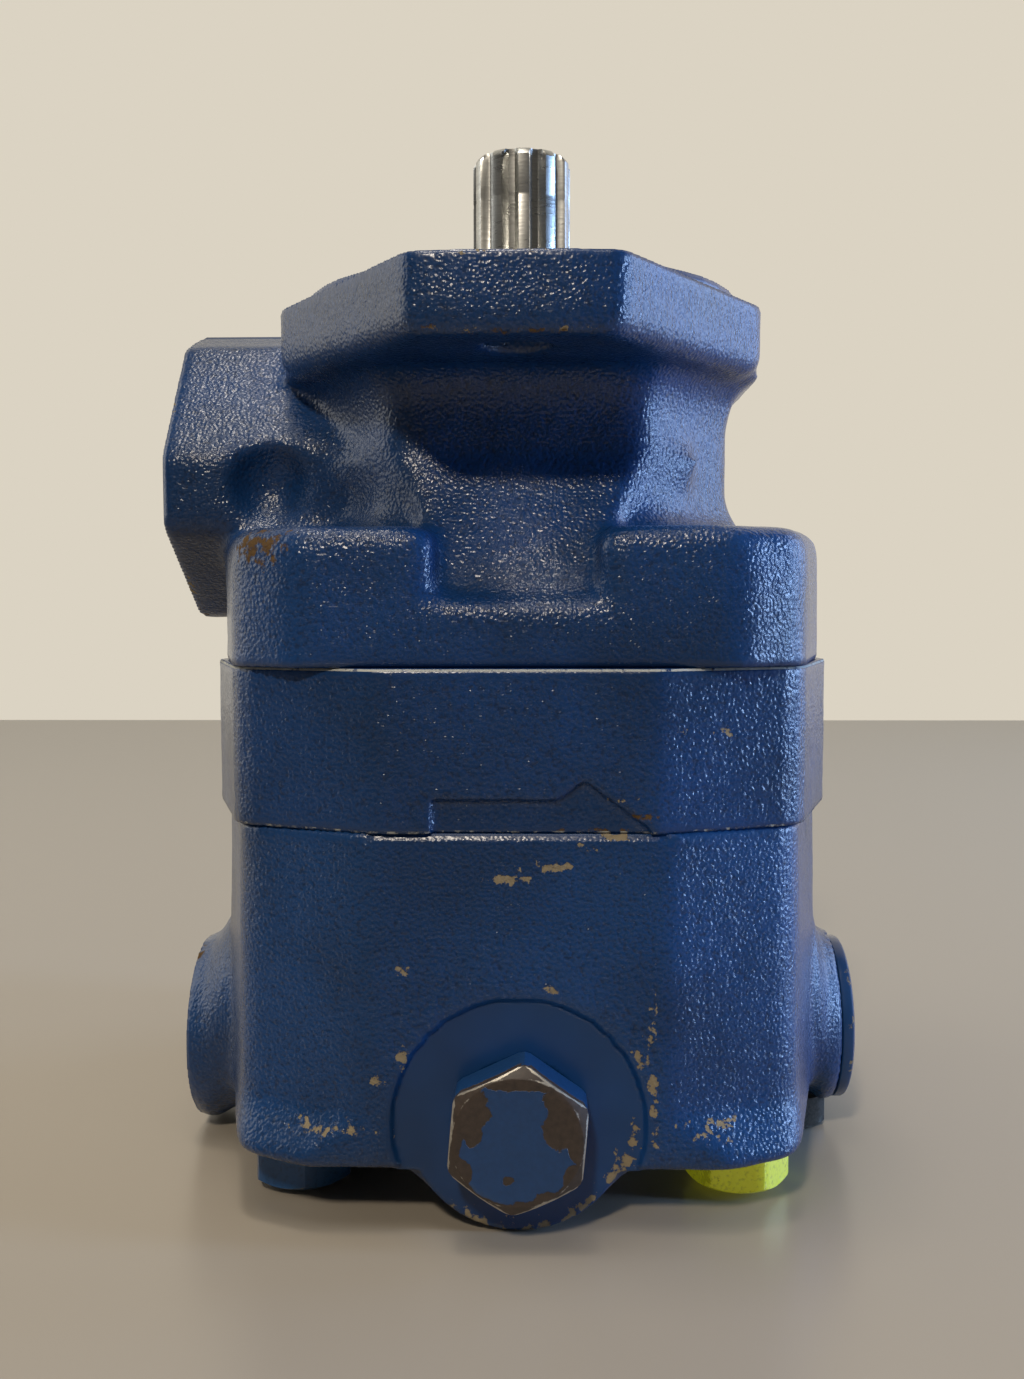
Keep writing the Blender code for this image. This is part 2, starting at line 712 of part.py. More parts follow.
def build_shaft():
    bm = bmesh.new()
    teeth = SPLINE_TEETH
    count = teeth * 4

    def round_row(radius, z):
        row = []
        for k in range(count):
            a = 2.0 * math.pi * k / count
            row.append((radius * math.cos(a), radius * math.sin(a), z))
        return row

    top = SHAFT_END_Z
    bearing_top = BEARING_BASE_Z + BEARING_WIDTH
    rows = [
        round_row(8.6, 60.5), round_row(ROTOR_SPLINE_RADIUS, 61.6),
        round_row(ROTOR_SPLINE_RADIUS, 90.6),
        round_row(BUSH_JOURNAL_RADIUS, 91.4), round_row(BUSH_JOURNAL_RADIUS, 108.8),
        round_row(SEAL_JOURNAL_RADIUS, 109.6), round_row(SEAL_JOURNAL_RADIUS, 135.0),
        round_row(14.6, 135.2), round_row(14.6, BEARING_BASE_Z - GAP),
        round_row(BEARING_BORE_RADIUS - GAP, BEARING_BASE_Z - 0.2),
        round_row(BEARING_BORE_RADIUS - GAP, bearing_top + 0.4),
        round_row(11.3, bearing_top + 0.45), round_row(11.3, bearing_top + 2.0),
        round_row(BEARING_BORE_RADIUS - GAP, bearing_top + 2.05),
        round_row(BEARING_BORE_RADIUS - GAP, bearing_top + 3.0),
        round_row(SPLINE_MAJOR_RADIUS + 0.1, bearing_top + 5.4),
        spline_row(SPLINE_MAJOR_RADIUS, SPLINE_MAJOR_RADIUS - 0.1, teeth, 159.6),
        spline_row(SPLINE_MAJOR_RADIUS, SPLINE_MINOR_RADIUS, teeth, 162.4),
        spline_row(SPLINE_MAJOR_RADIUS, SPLINE_MINOR_RADIUS, teeth, top - 0.9),
        spline_row(SPLINE_MAJOR_RADIUS - 0.85, SPLINE_MINOR_RADIUS - 0.1, teeth, top),
    ]
    assert all(len(row) == count for row in rows)
    add_loft(bm, rows)
    shaft = make_object("drive_shaft", bm, STEEL, 1.0, 0.32)

    def centre_hole(b):
        add_lathe(b, [(0.0, top - 6.5), (1.6, top - 5.5), (1.6, top - 2.6), (4.3, top + 0.1),
                      (4.3, top + 2.0)], 20)

    cut(shaft, centre_hole)
    finish_solid(shaft)
    smooth_by_angle(shaft, 30.0)
    return shaft


# Rotor and vanes


def build_rotor():
    z0 = JOINT_COVER_Z + 0.5
    z1 = JOINT_BODY_Z - 0.5
    bm = bmesh.new()
    add_lathe(bm, [(11.0, z0), (ROTOR_RADIUS - 0.4, z0), (ROTOR_RADIUS, z0 + 0.4),
                   (ROTOR_RADIUS, z1 - 0.4), (ROTOR_RADIUS - 0.4, z1), (11.0, z1)], 60,
              closed=True)
    rotor = make_object("rotor", bm, STEEL, 1.0, 0.3)

    def slots(b):
        half = VANE_THICKNESS / 2.0 + 0.2
        for k in range(VANE_COUNT):
            a = math.radians(VANE_FIRST_ANGLE + 360.0 / VANE_COUNT * k)
            ux, uy = math.cos(a), math.sin(a)
            pts = [(19.0, -half), (40.0, -half), (40.0, half), (19.0, half),
                   (18.4, 1.75), (17.0, 1.75), (16.2, 0.7), (16.2, -0.7), (17.0, -1.75),
                   (18.4, -1.75)]
            pts = [(u * ux - v * uy, u * uy + v * ux) for u, v in pts]
            add_prism(b, pts, z0 - 2.0, z1 + 2.0)

    def hub(b):
        rows = []
        for z in (z0 - 1.0, z1 + 1.0):
            rows.append(spline_row(11.6, 10.1, 18, z))
        add_loft(b, rows)

    cut(rotor, slots)
    cut(rotor, hub)
    finish_solid(rotor)
    smooth_by_angle(rotor, 30.0)
    return rotor


def build_vanes():
    z0 = JOINT_COVER_Z + 0.6
    z1 = JOINT_BODY_Z - 0.6
    vanes = []
    for k in range(VANE_COUNT):
        angle = math.radians(VANE_FIRST_ANGLE + 360.0 / VANE_COUNT * k)
        half = VANE_THICKNESS / 2.0
        tip = VANE_TIP_RADIUS
        pts = [(19.6, -half + 0.25), (19.9, -half), (tip - 0.55, -half), (tip - 0.12, -half * 0.5),
               (tip, 0.0), (tip - 0.12, half * 0.5), (tip - 0.55, half), (19.9, half),
               (19.6, half - 0.25)]
        bm = bmesh.new()
        add_prism(bm, pts, z0, z1)
        bmesh.ops.rotate(bm, verts=bm.verts, cent=(0.0, 0.0, 0.0),
                         matrix=Matrix.Rotation(angle, 3, "Z"))
        vanes.append(make_object("vane_%02d" % (k + 1), bm, DARK_STEEL, 1.0, 0.28))
    return vanes


# Pressure plate and seals


def build_pressure_plate():
    top = JOINT_COVER_Z - GAP / 2.0
    bm = bmesh.new()
    add_lathe(bm, [(10.6, 46.4), (17.0, 46.4), (17.0, 53.0), (33.7, 53.0), (34.1, 53.4),
                   (34.1, top - 0.4), (33.7, top), (10.6, top)], 40, closed=True)
    plate = make_object("pressure_plate", bm, BRONZE, 1.0, 0.35)

    def kidneys(b):
        for a in (90.0, 270.0):
            add_prism(b, sector(20.5, 29.0, a - 24.0, a + 24.0), 50.0, top + 2.0)

    cut(plate, kidneys)
    finish_solid(plate)
    smooth_by_angle(plate, 30.0)
    return plate


def add_torus(bm, major, minor, z, segments=40, sides=6, axis="Z", centre=(0.0, 0.0, 0.0)):
    profile = []
    for k in range(sides):
        a = 2.0 * math.pi * (k + 0.5) / sides
        profile.append((major + minor * math.cos(a), z + minor * math.sin(a)))
    add_lathe(bm, profile, segments, closed=True, axis=axis, centre=centre)


def add_coil(bm, radius, wire, start, end, turns, axis="Z", centre=(0.0, 0.0, 0.0),
             per_turn=12, sides=5):
    """Round wire coil whose end turns lie closed and flat."""
    lead = 1.0
    total = int(per_turn * (turns + 2.0 * lead))
    low = start + wire
    high = end - wire
    dead = wire * 2.1
    rows = []
    for i in range(total + 1):
        t = i / per_turn
        if t < lead:
            w = low + dead * t / lead
        elif t > turns + lead:
            w = high - dead * (turns + 2.0 * lead - t) / lead
        else:
            w = low + dead + (high - low - 2.0 * dead) * (t - lead) / turns
        a = 2.0 * math.pi * t
        row = []
        for k in range(sides):
            b = 2.0 * math.pi * k / sides
            r = radius + wire * math.cos(b)
            row.append((r * math.cos(a), r * math.sin(a), w + wire * math.sin(b)))
        rows.append(row)
    made = []
    for row in rows:
        made.append([bm.verts.new(place(x, y, z, axis, centre)) for x, y, z in row])
    for lower, upper in zip(made, made[1:]):
        for i in range(sides):
            j = (i + 1) % sides
            bm.faces.new((lower[i], lower[j], upper[j], upper[i]))
    bm.faces.new(list(reversed(made[0])))
    bm.faces.new(made[-1])


def build_seals():
    z_body = JOINT_BODY_Z + GAP / 2.0
    z_cover = JOINT_COVER_Z - GAP / 2.0
    bm = bmesh.new()
    add_torus(bm, 40.0, 0.95, z_body + 0.98, 32)
    body_ring_seal = make_object("body_ring_seal", bm, RUBBER, 0.0, 0.6, True)
    bm = bmesh.new()
    add_torus(bm, 40.0, 0.95, z_cover - 0.98, 32)
    ring_cover_seal = make_object("ring_cover_seal", bm, RUBBER, 0.0, 0.6, True)
    bm = bmesh.new()
    add_torus(bm, 18.8, 1.3, 48.5, 28)
    hub_seal = make_object("plate_hub_seal", bm, RUBBER, 0.0, 0.6, True)
    bm = bmesh.new()
    add_coil(bm, 22.9, 0.9, 40.0, 52.7, 2.0, per_turn=18)
    spring = make_object("pressure_plate_spring", bm, DARK_STEEL, 1.0, 0.35, True)
    return body_ring_seal, ring_cover_seal, hub_seal, spring


def build_shaft_seal():
    z0 = 126.4
    z1 = 134.4
    bm = bmesh.new()
    add_lathe(bm, [(14.0, z1 - 1.0), (19.0, z1 - 1.0), (19.0, z0), (20.0, z0), (20.0, z1),
                   (14.0, z1)], 32, closed=True)
    case = make_object("shaft_seal_case", bm, STEEL, 1.0, 0.4, True)
    bm = bmesh.new()
    r = SEAL_JOURNAL_RADIUS
    add_lathe(bm, [(r + 0.15, z0 + 3.3), (r + 1.6, z0 + 1.2), (r + 3.0, z0 + 1.2),
                   (r + 3.0, z1 - 2.6), (18.7, z1 - 2.6), (18.7, z1 - 1.3),
                   (r + 1.6, z1 - 1.3), (r + 1.3, z0 + 4.6)], 28, closed=True)
    lip = make_object("shaft_seal_lip", bm, RUBBER, 0.0, 0.55, True)
    bm = bmesh.new()
    add_torus(bm, r + 3.9, 0.6, z0 + 3.0, 24, 5)
    garter = make_object("seal_garter_spring", bm, STEEL, 1.0, 0.35, True)
    return case, lip, garter


# Bearing


def build_bearing():
    z0 = BEARING_BASE_Z
    z1 = z0 + BEARING_WIDTH
    zc = (z0 + z1) / 2.0
    groove = BALL_RADIUS + 0.12
    bm = bmesh.new()
    inner_top = 16.6
    profile = [(BEARING_BORE_RADIUS, z0 + 0.6), (BEARING_BORE_RADIUS + 0.6, z0),
               (inner_top, z0)]
    for k in range(5):
        a = math.radians(-48.0 + 96.0 * k / 4)
        profile.append((BALL_PITCH_RADIUS - groove * math.cos(a), zc + groove * math.sin(a)))
    profile += [(inner_top, z1), (BEARING_BORE_RADIUS + 0.6, z1),
                (BEARING_BORE_RADIUS, z1 - 0.6)]
    add_lathe(bm, profile, 32, closed=True)
    inner = make_object("bearing_inner_race", bm, STEEL, 1.0, 0.2, True)
    bm = bmesh.new()
    outer_low = 21.9
    profile = [(BEARING_OUTER_RADIUS, z0 + 0.8), (BEARING_OUTER_RADIUS, z1 - 0.8),
               (BEARING_OUTER_RADIUS - 0.8, z1), (outer_low, z1)]
    for k in range(5):
        a = math.radians(48.0 - 96.0 * k / 4)
        profile.append((BALL_PITCH_RADIUS + groove * math.cos(a), zc + groove * math.sin(a)))
    profile += [(outer_low, z0), (BEARING_OUTER_RADIUS - 0.8, z0)]
    add_lathe(bm, profile, 32, closed=True)
    outer = make_object("bearing_outer_race", bm, STEEL, 1.0, 0.2, True)

    bm = bmesh.new()
    add_lathe(bm, [(18.3, zc - 2.6), (20.3, zc - 2.6), (20.3, zc + 6.2), (18.3, zc + 6.2)],
              40, closed=True)
    cage = make_object("bearing_cage", bm, BRASS, 1.0, 0.35)

    def pockets(b):
        for k in range(BALL_COUNT):
            a = math.radians(360.0 / BALL_COUNT * k)
            rows = []
            for reach in (15.0, 24.0):
                row = []
                for n in range(8):
                    t = 2.0 * math.pi * n / 8
                    u = (BALL_RADIUS + 0.5) * math.cos(t)
                    w = (BALL_RADIUS + 0.5) * math.sin(t)
                    x = reach * math.cos(a) - u * math.sin(a)
                    y = reach * math.sin(a) + u * math.cos(a)
                    row.append((x, y, zc + w))
                rows.append(row)
            add_loft(b, rows)

    cut(cage, pockets)
    finish_solid(cage)
    balls = []
    for k in range(BALL_COUNT):
        a = math.radians(360.0 / BALL_COUNT * k)
        bm = bmesh.new()
        bmesh.ops.create_uvsphere(
            bm, u_segments=10, v_segments=6, radius=mm(BALL_RADIUS),
            matrix=Matrix.Translation((mm(BALL_PITCH_RADIUS * math.cos(a)),
                                       mm(BALL_PITCH_RADIUS * math.sin(a)), mm(zc))))
        balls.append(make_object("bearing_ball_%d" % (k + 1), bm, STEEL, 1.0, 0.1, True))
    return inner, outer, cage, balls


def open_ring(name, r0, r1, z0, z1, gap_half, colour, turn=0.0):
    """Retaining ring: a flat ring with a gap between two ends."""
    bm = bmesh.new()
    pts = sector(r0, r1, gap_half + turn, 360.0 - gap_half + turn, 28)
    add_prism(bm, pts, z0, z1)
    return make_object(name, bm, colour, 1.0, 0.35, True)


def build_retainers():
    z = BEARING_BASE_Z + BEARING_WIDTH
    body_ring = open_ring("bearing_retaining_ring", 23.6, 27.6, z + GAP + 0.3, z + GAP + 1.6,
                          9.0, DARK_STEEL, 90.0)
    shaft_ring = open_ring("shaft_retaining_ring", 11.6, 14.4, z + 0.7, z + 1.7,
                           14.0, DARK_STEEL, 270.0)
    bm = bmesh.new()
    add_lathe(bm, [(BUSH_JOURNAL_RADIUS + 0.1, 91.6), (13.0, 91.6), (13.0, 107.6),
                   (BUSH_JOURNAL_RADIUS + 0.1, 107.6)], 28, closed=True)
    bush = make_object("shaft_bush", bm, BRONZE, 1.0, 0.35, True)
    return body_ring, shaft_ring, bush


# Fasteners and pins


def build_bolts():
    bolts = []
    seat = COVER_BOTTOM_Z - GAP
    names = ["front_left", "front_right", "rear_left", "rear_right"]
    spots = [(-BOLT_X, -BOLT_Y), (BOLT_X, -BOLT_Y), (-BOLT_X, BOLT_Y), (BOLT_X, BOLT_Y)]
    turns = [11.0, 24.0, 4.0, 37.0]
    for name, (x, y), turn in zip(names, spots, turns):
        bm = bmesh.new()
        r = BOLT_RADIUS
        add_lathe(bm, [(0.0, seat - 2.0), (r, seat - 2.0), (r, 104.4), (r - 1.0, 105.6),
                       (0.0, 105.6)], 20, centre=(x, y, 0.0))
        bolt = make_object("cover_bolt_" + name, bm, PAINT, 0.0, 0.35)
        low = seat - BOLT_HEAD_HEIGHT

        def head(b):
            pts = [(px + x, py + y) for px, py in hexagon(BOLT_HEX_FLATS, turn)]
            add_prism(b, pts, low, seat - 0.5)

        def washer_face(b):
            add_lathe(b, [(7.6, seat - 0.9), (7.6, seat)], 24, centre=(x, y, 0.0))

        def crown(b):
            rim = BOLT_HEX_FLATS / math.sqrt(3.0)
            add_lathe(b, [(BOLT_HEX_FLATS / 2.0 - 0.2, low - 0.05), (rim + 0.4, low + 1.1),
                          (rim + 3.0, low + 1.1), (rim + 3.0, low - 0.05)],
                      24, closed=True, centre=(x, y, 0.0))

        join(bolt, head)
        join(bolt, washer_face)
        cut(bolt, crown)
        finish_solid(bolt)
        smooth_by_angle(bolt, 25.0)
        bolts.append(bolt)
    return bolts


def build_pins():
    pins = []
    for k, s in enumerate((-1, 1)):
        bm = bmesh.new()
        add_lathe(bm, [(2.5, 56.6), (2.9, 57.1), (2.9, 96.4), (2.5, 96.9)], 16,
                  centre=(0.0, s * 46.5, 0.0))
        pins.append(make_object("locating_pin_%d" % (k + 1), bm, STEEL, 1.0, 0.3, True))
    return pins


# Flow control and relief valve


def build_valve():
    axis = {"axis": "Y", "centre": (0.3, 0.0, VALVE_Z)}
    face = VALVE_FACE_Y - GAP
    bm = bmesh.new()
    r = VALVE_BORE_RADIUS + 0.6
    add_lathe(bm, [(0.0, face - 2.0), (r - 0.9, face - 2.0), (r - 0.9, VALVE_FACE_Y + 2.4),
                   (r, VALVE_FACE_Y + 2.8), (r, -45.0), (r - 1.2, -43.8), (0.0, -43.8)],
              32, **axis)
    plug = make_object("flow_valve_plug", bm, PAINT, 0.0, 0.4)
    front = face - PLUG_HEX_HEIGHT

    def head(b):
        pts = hexagon(PLUG_HEX_FLATS, 26.0)
        add_loft(b, [[(0.3 + px, front, VALVE_Z + py) for px, py in pts],
                     [(0.3 + px, face, VALVE_Z + py) for px, py in pts]])

    def crown(b):
        rim = PLUG_HEX_FLATS / math.sqrt(3.0)
        add_lathe(b, [(PLUG_HEX_FLATS / 2.0 - 0.3, front - 0.05), (rim + 0.4, front + 1.3),
                      (rim + 4.0, front + 1.3), (rim + 4.0, front - 0.05)],
                  32, closed=True, **axis)

    join(plug, head)
    cut(plug, crown)
    finish_solid(plug)
    smooth_by_angle(plug, 25.0)

    bm = bmesh.new()
    add_torus(bm, 9.25, 0.48, VALVE_FACE_Y + 1.3, 28, 5, **axis)
    ring = make_object("valve_plug_o_ring", bm, RUBBER, 0.0, 0.6, True)

    bm = bmesh.new()
    s = VALVE_BORE_RADIUS - 0.1
    add_lathe(bm, [
        (0.0, -43.4), (6.6, -43.4), (6.6, -33.5), (s, -33.5), (s, -20.0), (6.2, -19.0),
        (6.2, -11.0), (s, -10.0), (s, 2.0), (5.6, 2.0), (5.6, -22.0), (2.0, -25.0),
        (2.0, -33.0), (0.0, -33.0)], 24, **axis)
    spool = make_object("flow_control_spool", bm, STEEL, 1.0, 0.25, True)

    bm = bmesh.new()
    add_coil(bm, 7.3, 0.8, 2.3, 34.2, 5.0, per_turn=10, **axis)
    spring = make_object("flow_control_spring", bm, DARK_STEEL, 1.0, 0.35, True)

    bm = bmesh.new()
    add_lathe(bm, [(0.0, -24.6), (1.7, -24.1), (4.6, -20.8), (4.6, -16.6), (2.2, -16.4),
                   (2.2, -13.8), (0.0, -13.8)], 24, **axis)
    poppet = make_object("relief_poppet", bm, STEEL, 1.0, 0.25, True)

    bm = bmesh.new()
    add_coil(bm, 3.5, 0.5, -16.2, -2.8, 4.0, per_turn=10, **axis)
    relief_spring = make_object("relief_spring", bm, DARK_STEEL, 1.0, 0.35, True)

    bm = bmesh.new()
    add_lathe(bm, [(1.5, -2.5), (5.3, -2.5), (5.3, 1.9), (1.5, 1.9)], 24, closed=True, **axis)
    retainer = make_object("relief_spring_retainer", bm, STEEL, 1.0, 0.35, True)
    return plug, ring, spool, spring, poppet, relief_spring, retainer


# Port plugs


def build_port_plugs():
    axis = {"axis": "X", "centre": (0.0, PORT_Y, PORT_Z + 1.2)}
    face = SIDE_FACE_X + GAP
    bm = bmesh.new()
    r = SIDE_BORE_RADIUS - GAP
    add_lathe(bm, [(0.0, 46.5), (r - 1.0, 46.5), (r, 47.5), (r, face), (15.2, face),
                   (15.2, face + 1.6), (14.4, face + 2.4), (0.0, face + 2.4)], 32, **axis)
    side = make_object("side_port_plug", bm, DARK_STEEL, 1.0, 0.4)

    def socket(b):
        pts = hexagon(9.5, 15.0)
        cy, cz = PORT_Y, PORT_Z + 1.2
        add_loft(b, [[(face - 4.0, cy + py, cz + pz) for py, pz in pts],
                     [(face + 6.0, cy + py, cz + pz) for py, pz in pts]])

    cut(side, socket)
    finish_solid(side)
    smooth_by_angle(side, 25.0)

    bm = bmesh.new()
    cx, cy = 48.8, -5.5
    add_lathe(bm, [(0.0, 3.0), (4.3, 3.0), (4.3, 10.0), (3.7, 10.6), (0.0, 10.6)], 20,
              centre=(cx, cy, 0.0))
    lower = make_object("lower_port_plug", bm, DARK_STEEL, 1.0, 0.4)

    def head(b):
        pts = [(px + cx, py + cy) for px, py in hexagon(19.05, 30.0)]
        add_prism(b, pts, 0.0, 6.1)

    join(lower, head)
    finish_solid(lower)
    smooth_by_angle(lower, 25.0)
    return side, lower


def main():
    clear_scene()
    build_body()
    build_cam_ring()
    build_cover()
    build_shaft()
    build_rotor()
    build_vanes()
    build_pressure_plate()
    build_seals()
    build_shaft_seal()
    build_bearing()
    build_retainers()
    build_bolts()
    build_pins()
    build_valve()
    build_port_plugs()


main()
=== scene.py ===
"""Looks of a hydraulic vane pump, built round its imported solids.

The pump stands on its outlet cover with the splined shaft up. The file goes through
it as it is put together, from the castings inward, and ends with the floor and lamps.
"""
import math

import bmesh
import bpy
import numpy as np
from mathutils import Matrix, Vector, noise


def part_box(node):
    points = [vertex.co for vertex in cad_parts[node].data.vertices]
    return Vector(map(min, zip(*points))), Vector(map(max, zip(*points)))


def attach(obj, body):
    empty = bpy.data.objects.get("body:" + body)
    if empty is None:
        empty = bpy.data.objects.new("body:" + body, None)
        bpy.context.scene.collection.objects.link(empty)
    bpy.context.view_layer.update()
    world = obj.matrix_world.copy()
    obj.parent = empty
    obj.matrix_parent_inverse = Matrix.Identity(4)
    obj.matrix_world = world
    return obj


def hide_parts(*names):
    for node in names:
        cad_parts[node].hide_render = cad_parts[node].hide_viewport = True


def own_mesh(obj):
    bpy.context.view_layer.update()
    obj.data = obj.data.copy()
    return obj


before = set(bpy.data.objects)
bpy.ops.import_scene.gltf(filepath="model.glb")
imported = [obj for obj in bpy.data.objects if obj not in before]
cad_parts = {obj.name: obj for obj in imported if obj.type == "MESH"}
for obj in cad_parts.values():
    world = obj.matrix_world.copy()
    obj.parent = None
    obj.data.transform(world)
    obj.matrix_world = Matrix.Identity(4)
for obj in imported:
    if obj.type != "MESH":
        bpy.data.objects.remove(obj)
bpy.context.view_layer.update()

# The camera stands a forearm's length in front of the pump, at the height of the joint
# between its body and its cam ring, and looks a little down. Lengths are millimetres.
CAMERA_PLACE = (4.4, -268.4, 99.8)
CAMERA_DOWN = 3.54
CAMERA_LEFT = 1.37
CAMERA_ROLL = -0.09
CAMERA_LENS = 35.54
FILM_HEIGHT = 36.0


def mm(value):
    """Millimetres as metres."""
    return value * 0.001


down = math.radians(CAMERA_DOWN)
left = math.radians(CAMERA_LEFT)
roll = math.radians(CAMERA_ROLL)
level = Vector((-math.sin(left), math.cos(left), 0.0))
right = Vector((math.cos(left), math.sin(left), 0.0))
ahead = level * math.cos(down) - Vector((0.0, 0.0, math.sin(down)))
above = right.cross(ahead)
side = right * math.cos(roll) + above * math.sin(roll)
top = above * math.cos(roll) - right * math.sin(roll)
lens = bpy.data.cameras.new("front view")
lens.sensor_fit = "VERTICAL"
lens.sensor_height = FILM_HEIGHT
lens.lens = CAMERA_LENS
lens.clip_start = 0.01
camera = bpy.data.objects.new("front view", lens)
bpy.context.scene.collection.objects.link(camera)
camera.matrix_world = Matrix((
    (side.x, top.x, -ahead.x, mm(CAMERA_PLACE[0])),
    (side.y, top.y, -ahead.y, mm(CAMERA_PLACE[1])),
    (side.z, top.z, -ahead.z, mm(CAMERA_PLACE[2])),
    (0.0, 0.0, 0.0, 1.0)))
bpy.context.scene.camera = camera


# Pump body: one grey iron sand casting with its flange, neck, bolt bosses and inlet
# boss. The sand leaves a grain of about a millimetre, edges are rounded, and gloss
# enamel is sprayed over it once the pump is put together.
BODY_GRID = 0.6
BODY_PASSES = 10
HELD = 0.05
FREE = 0.5
BLEND_PASSES = 120
RUN_OUT_PASSES = 10
FACE_REACH = 0.75
FACE_TILT = 0.72
PLANE_REACH = 0.4
SWELL = 7.0
SWELL_HEIGHT = 0.10
RIPPLE = 2.2
RIPPLE_HEIGHT = 0.05
SKIN_LEVEL = 0.09
CLOUD = 26.0
PEEL = 3.6
PEEL_HEIGHT = 0.10
CHIP_STEP = 0.08
FLECK = 1.7
GRAIN = 0.75
POOL = 0.55
HIGHLIGHT_WIDTH = 0.18


def linear(hex_colour):
    """Turn an sRGB hex colour into a linear RGBA value."""
    out = []
    for k in (1, 3, 5):
        c = int(hex_colour[k:k + 2], 16) / 255.0
        out.append(c / 12.92 if c <= 0.04045 else ((c + 0.055) / 1.055) ** 2.4)
    return (*out, 1.0)


def per_metre(size_mm):
    """Texture scale that gives cells of a real size in millimetres."""
    return 1000.0 / size_mm


def add_node(tree, kind, settings=None, inputs=None):
    """Add one shader node; an input is given as a value or as the socket that feeds it."""
    node = tree.nodes.new(kind)
    for key, value in (settings or {}).items():
        setattr(node, key, value)
    for key, value in (inputs or {}).items():
        if isinstance(value, bpy.types.NodeSocket):
            tree.links.new(value, node.inputs[key])
        else:
            node.inputs[key].default_value = value
    return node


def link_object(name, mesh):
    """Put a mesh into the scene as a new object."""
    piece = bpy.data.objects.new(name, mesh)
    bpy.context.scene.collection.objects.link(piece)
    return piece


def applied(piece):
    """Replace a piece's mesh with the result of its modifiers."""
    graph = bpy.context.evaluated_depsgraph_get()
    graph.update()
    mesh = bpy.data.meshes.new_from_object(piece.evaluated_get(graph))
    piece.modifiers.clear()
    piece.data = mesh


def points_of(mesh):
    """Give a mesh's points as rows of three, in metres."""
    co = np.zeros(len(mesh.vertices) * 3)
    mesh.vertices.foreach_get("co", co)
    return co.reshape(-1, 3)


def store(mesh, name, values):
    """Keep one value for each point, for a material to read."""
    layer = mesh.attributes.new(name, "FLOAT", "POINT")
    layer.data.foreach_set("value", np.asarray(values, np.float32))


def spots(p, places):
    """Share of wear at each point, from ellipsoids of (centre, size, strength) in mm."""
    worn = np.zeros(len(p))
    for centre, size, strength in places:
        far = np.linalg.norm((p - np.array(centre)) / np.array(size), axis=1)
        worn = np.maximum(worn, strength * np.clip(1.35 - 0.7 * far, 0.0, 1.0))
    return worn


def relaxed(p, pairs, passes, weight):
    """Move each point part of the way to the middle of its neighbours, pass by pass."""
    count = len(p)
    a, b = pairs[:, 0], pairs[:, 1]
    near = np.bincount(a, minlength=count) + np.bincount(b, minlength=count)
    near = np.maximum(near, 1)
    for _ in range(passes):
        middle = np.empty_like(p)
        for k in range(p.shape[1]):
            middle[:, k] = np.bincount(a, p[b, k], count) + np.bincount(b, p[a, k], count)
        p = p + weight[:, None] * (middle / near[:, None] - p)
    return p


def place_points(mesh, p):
    """Put points given in millimetres into a mesh and give back its new normals."""
    mesh.vertices.foreach_set("co", (p * 0.001).ravel())
    mesh.update()
    normals = np.zeros(len(p) * 3)
    mesh.vertices.foreach_get("normal", normals)
    return normals.reshape(-1, 3)


def cast_skin(node, name, grid, planes, machined, passes, blended, chips, rust_and_shade):
    """Even out a casting's solid into a fine mesh with rounded cast edges, fillets that
    run out softly, flat machined faces with crisp edges, and a cast surface. Planes are
    (axis, level, level in place). Blended, chips and rust are ellipsoids for spots()."""
    bm = bmesh.new()
    bm.from_mesh(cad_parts[node].data)
    bmesh.ops.remove_doubles(bm, verts=bm.verts, dist=0.000002)
    mesh = bpy.data.meshes.new(name)
    bm.to_mesh(mesh)
    bm.free()
    piece = link_object(name, mesh)
    even = piece.modifiers.new("even grid", "REMESH")
    even.mode = "VOXEL"
    even.voxel_size = mm(grid)
    applied(piece)
    mesh = piece.data
    p = points_of(mesh) * 1000.0
    pairs = np.zeros(len(mesh.edges) * 2, np.int32)
    mesh.edges.foreach_get("vertices", pairs)
    pairs = pairs.reshape(-1, 2)
    loose = 1.0 - machined(p)
    p = relaxed(p, pairs, passes, HELD + (FREE - HELD) * loose)
    if blended:
        p = relaxed(p, pairs, BLEND_PASSES, FREE * loose * spots(p, blended))
    normals = place_points(mesh, p)
    cut = machined(p) > 0.9
    for axis, level, new_level in planes:
        off = np.abs(p[:, axis] - level)
        flat = (off < grid * FACE_REACH) & (np.abs(normals[:, axis]) > FACE_TILT)
        flat |= off < grid * PLANE_REACH
        p[flat & cut, axis] = new_level
    waves = np.array([
        SWELL_HEIGHT * noise.noise(Vector(v) / SWELL)
        + RIPPLE_HEIGHT * noise.noise(Vector(v) / RIPPLE) for v in p])
    cast = (~cut).astype(float)[:, None]
    cast = relaxed(cast, pairs, RUN_OUT_PASSES, np.full(len(p), FREE))[:, 0]
    sunk = np.minimum(waves - SKIN_LEVEL, 0.0) * cast
    place_points(mesh, p + normals * sunk[:, None])
    store(mesh, "cast", cast)
    store(mesh, "chipped", spots(p, chips))
    store(mesh, "rust_and_shade_share", spots(p, rust_and_shade))
    mesh.polygons.foreach_set("use_smooth", [True] * len(mesh.polygons))
    mesh.update()
    return piece


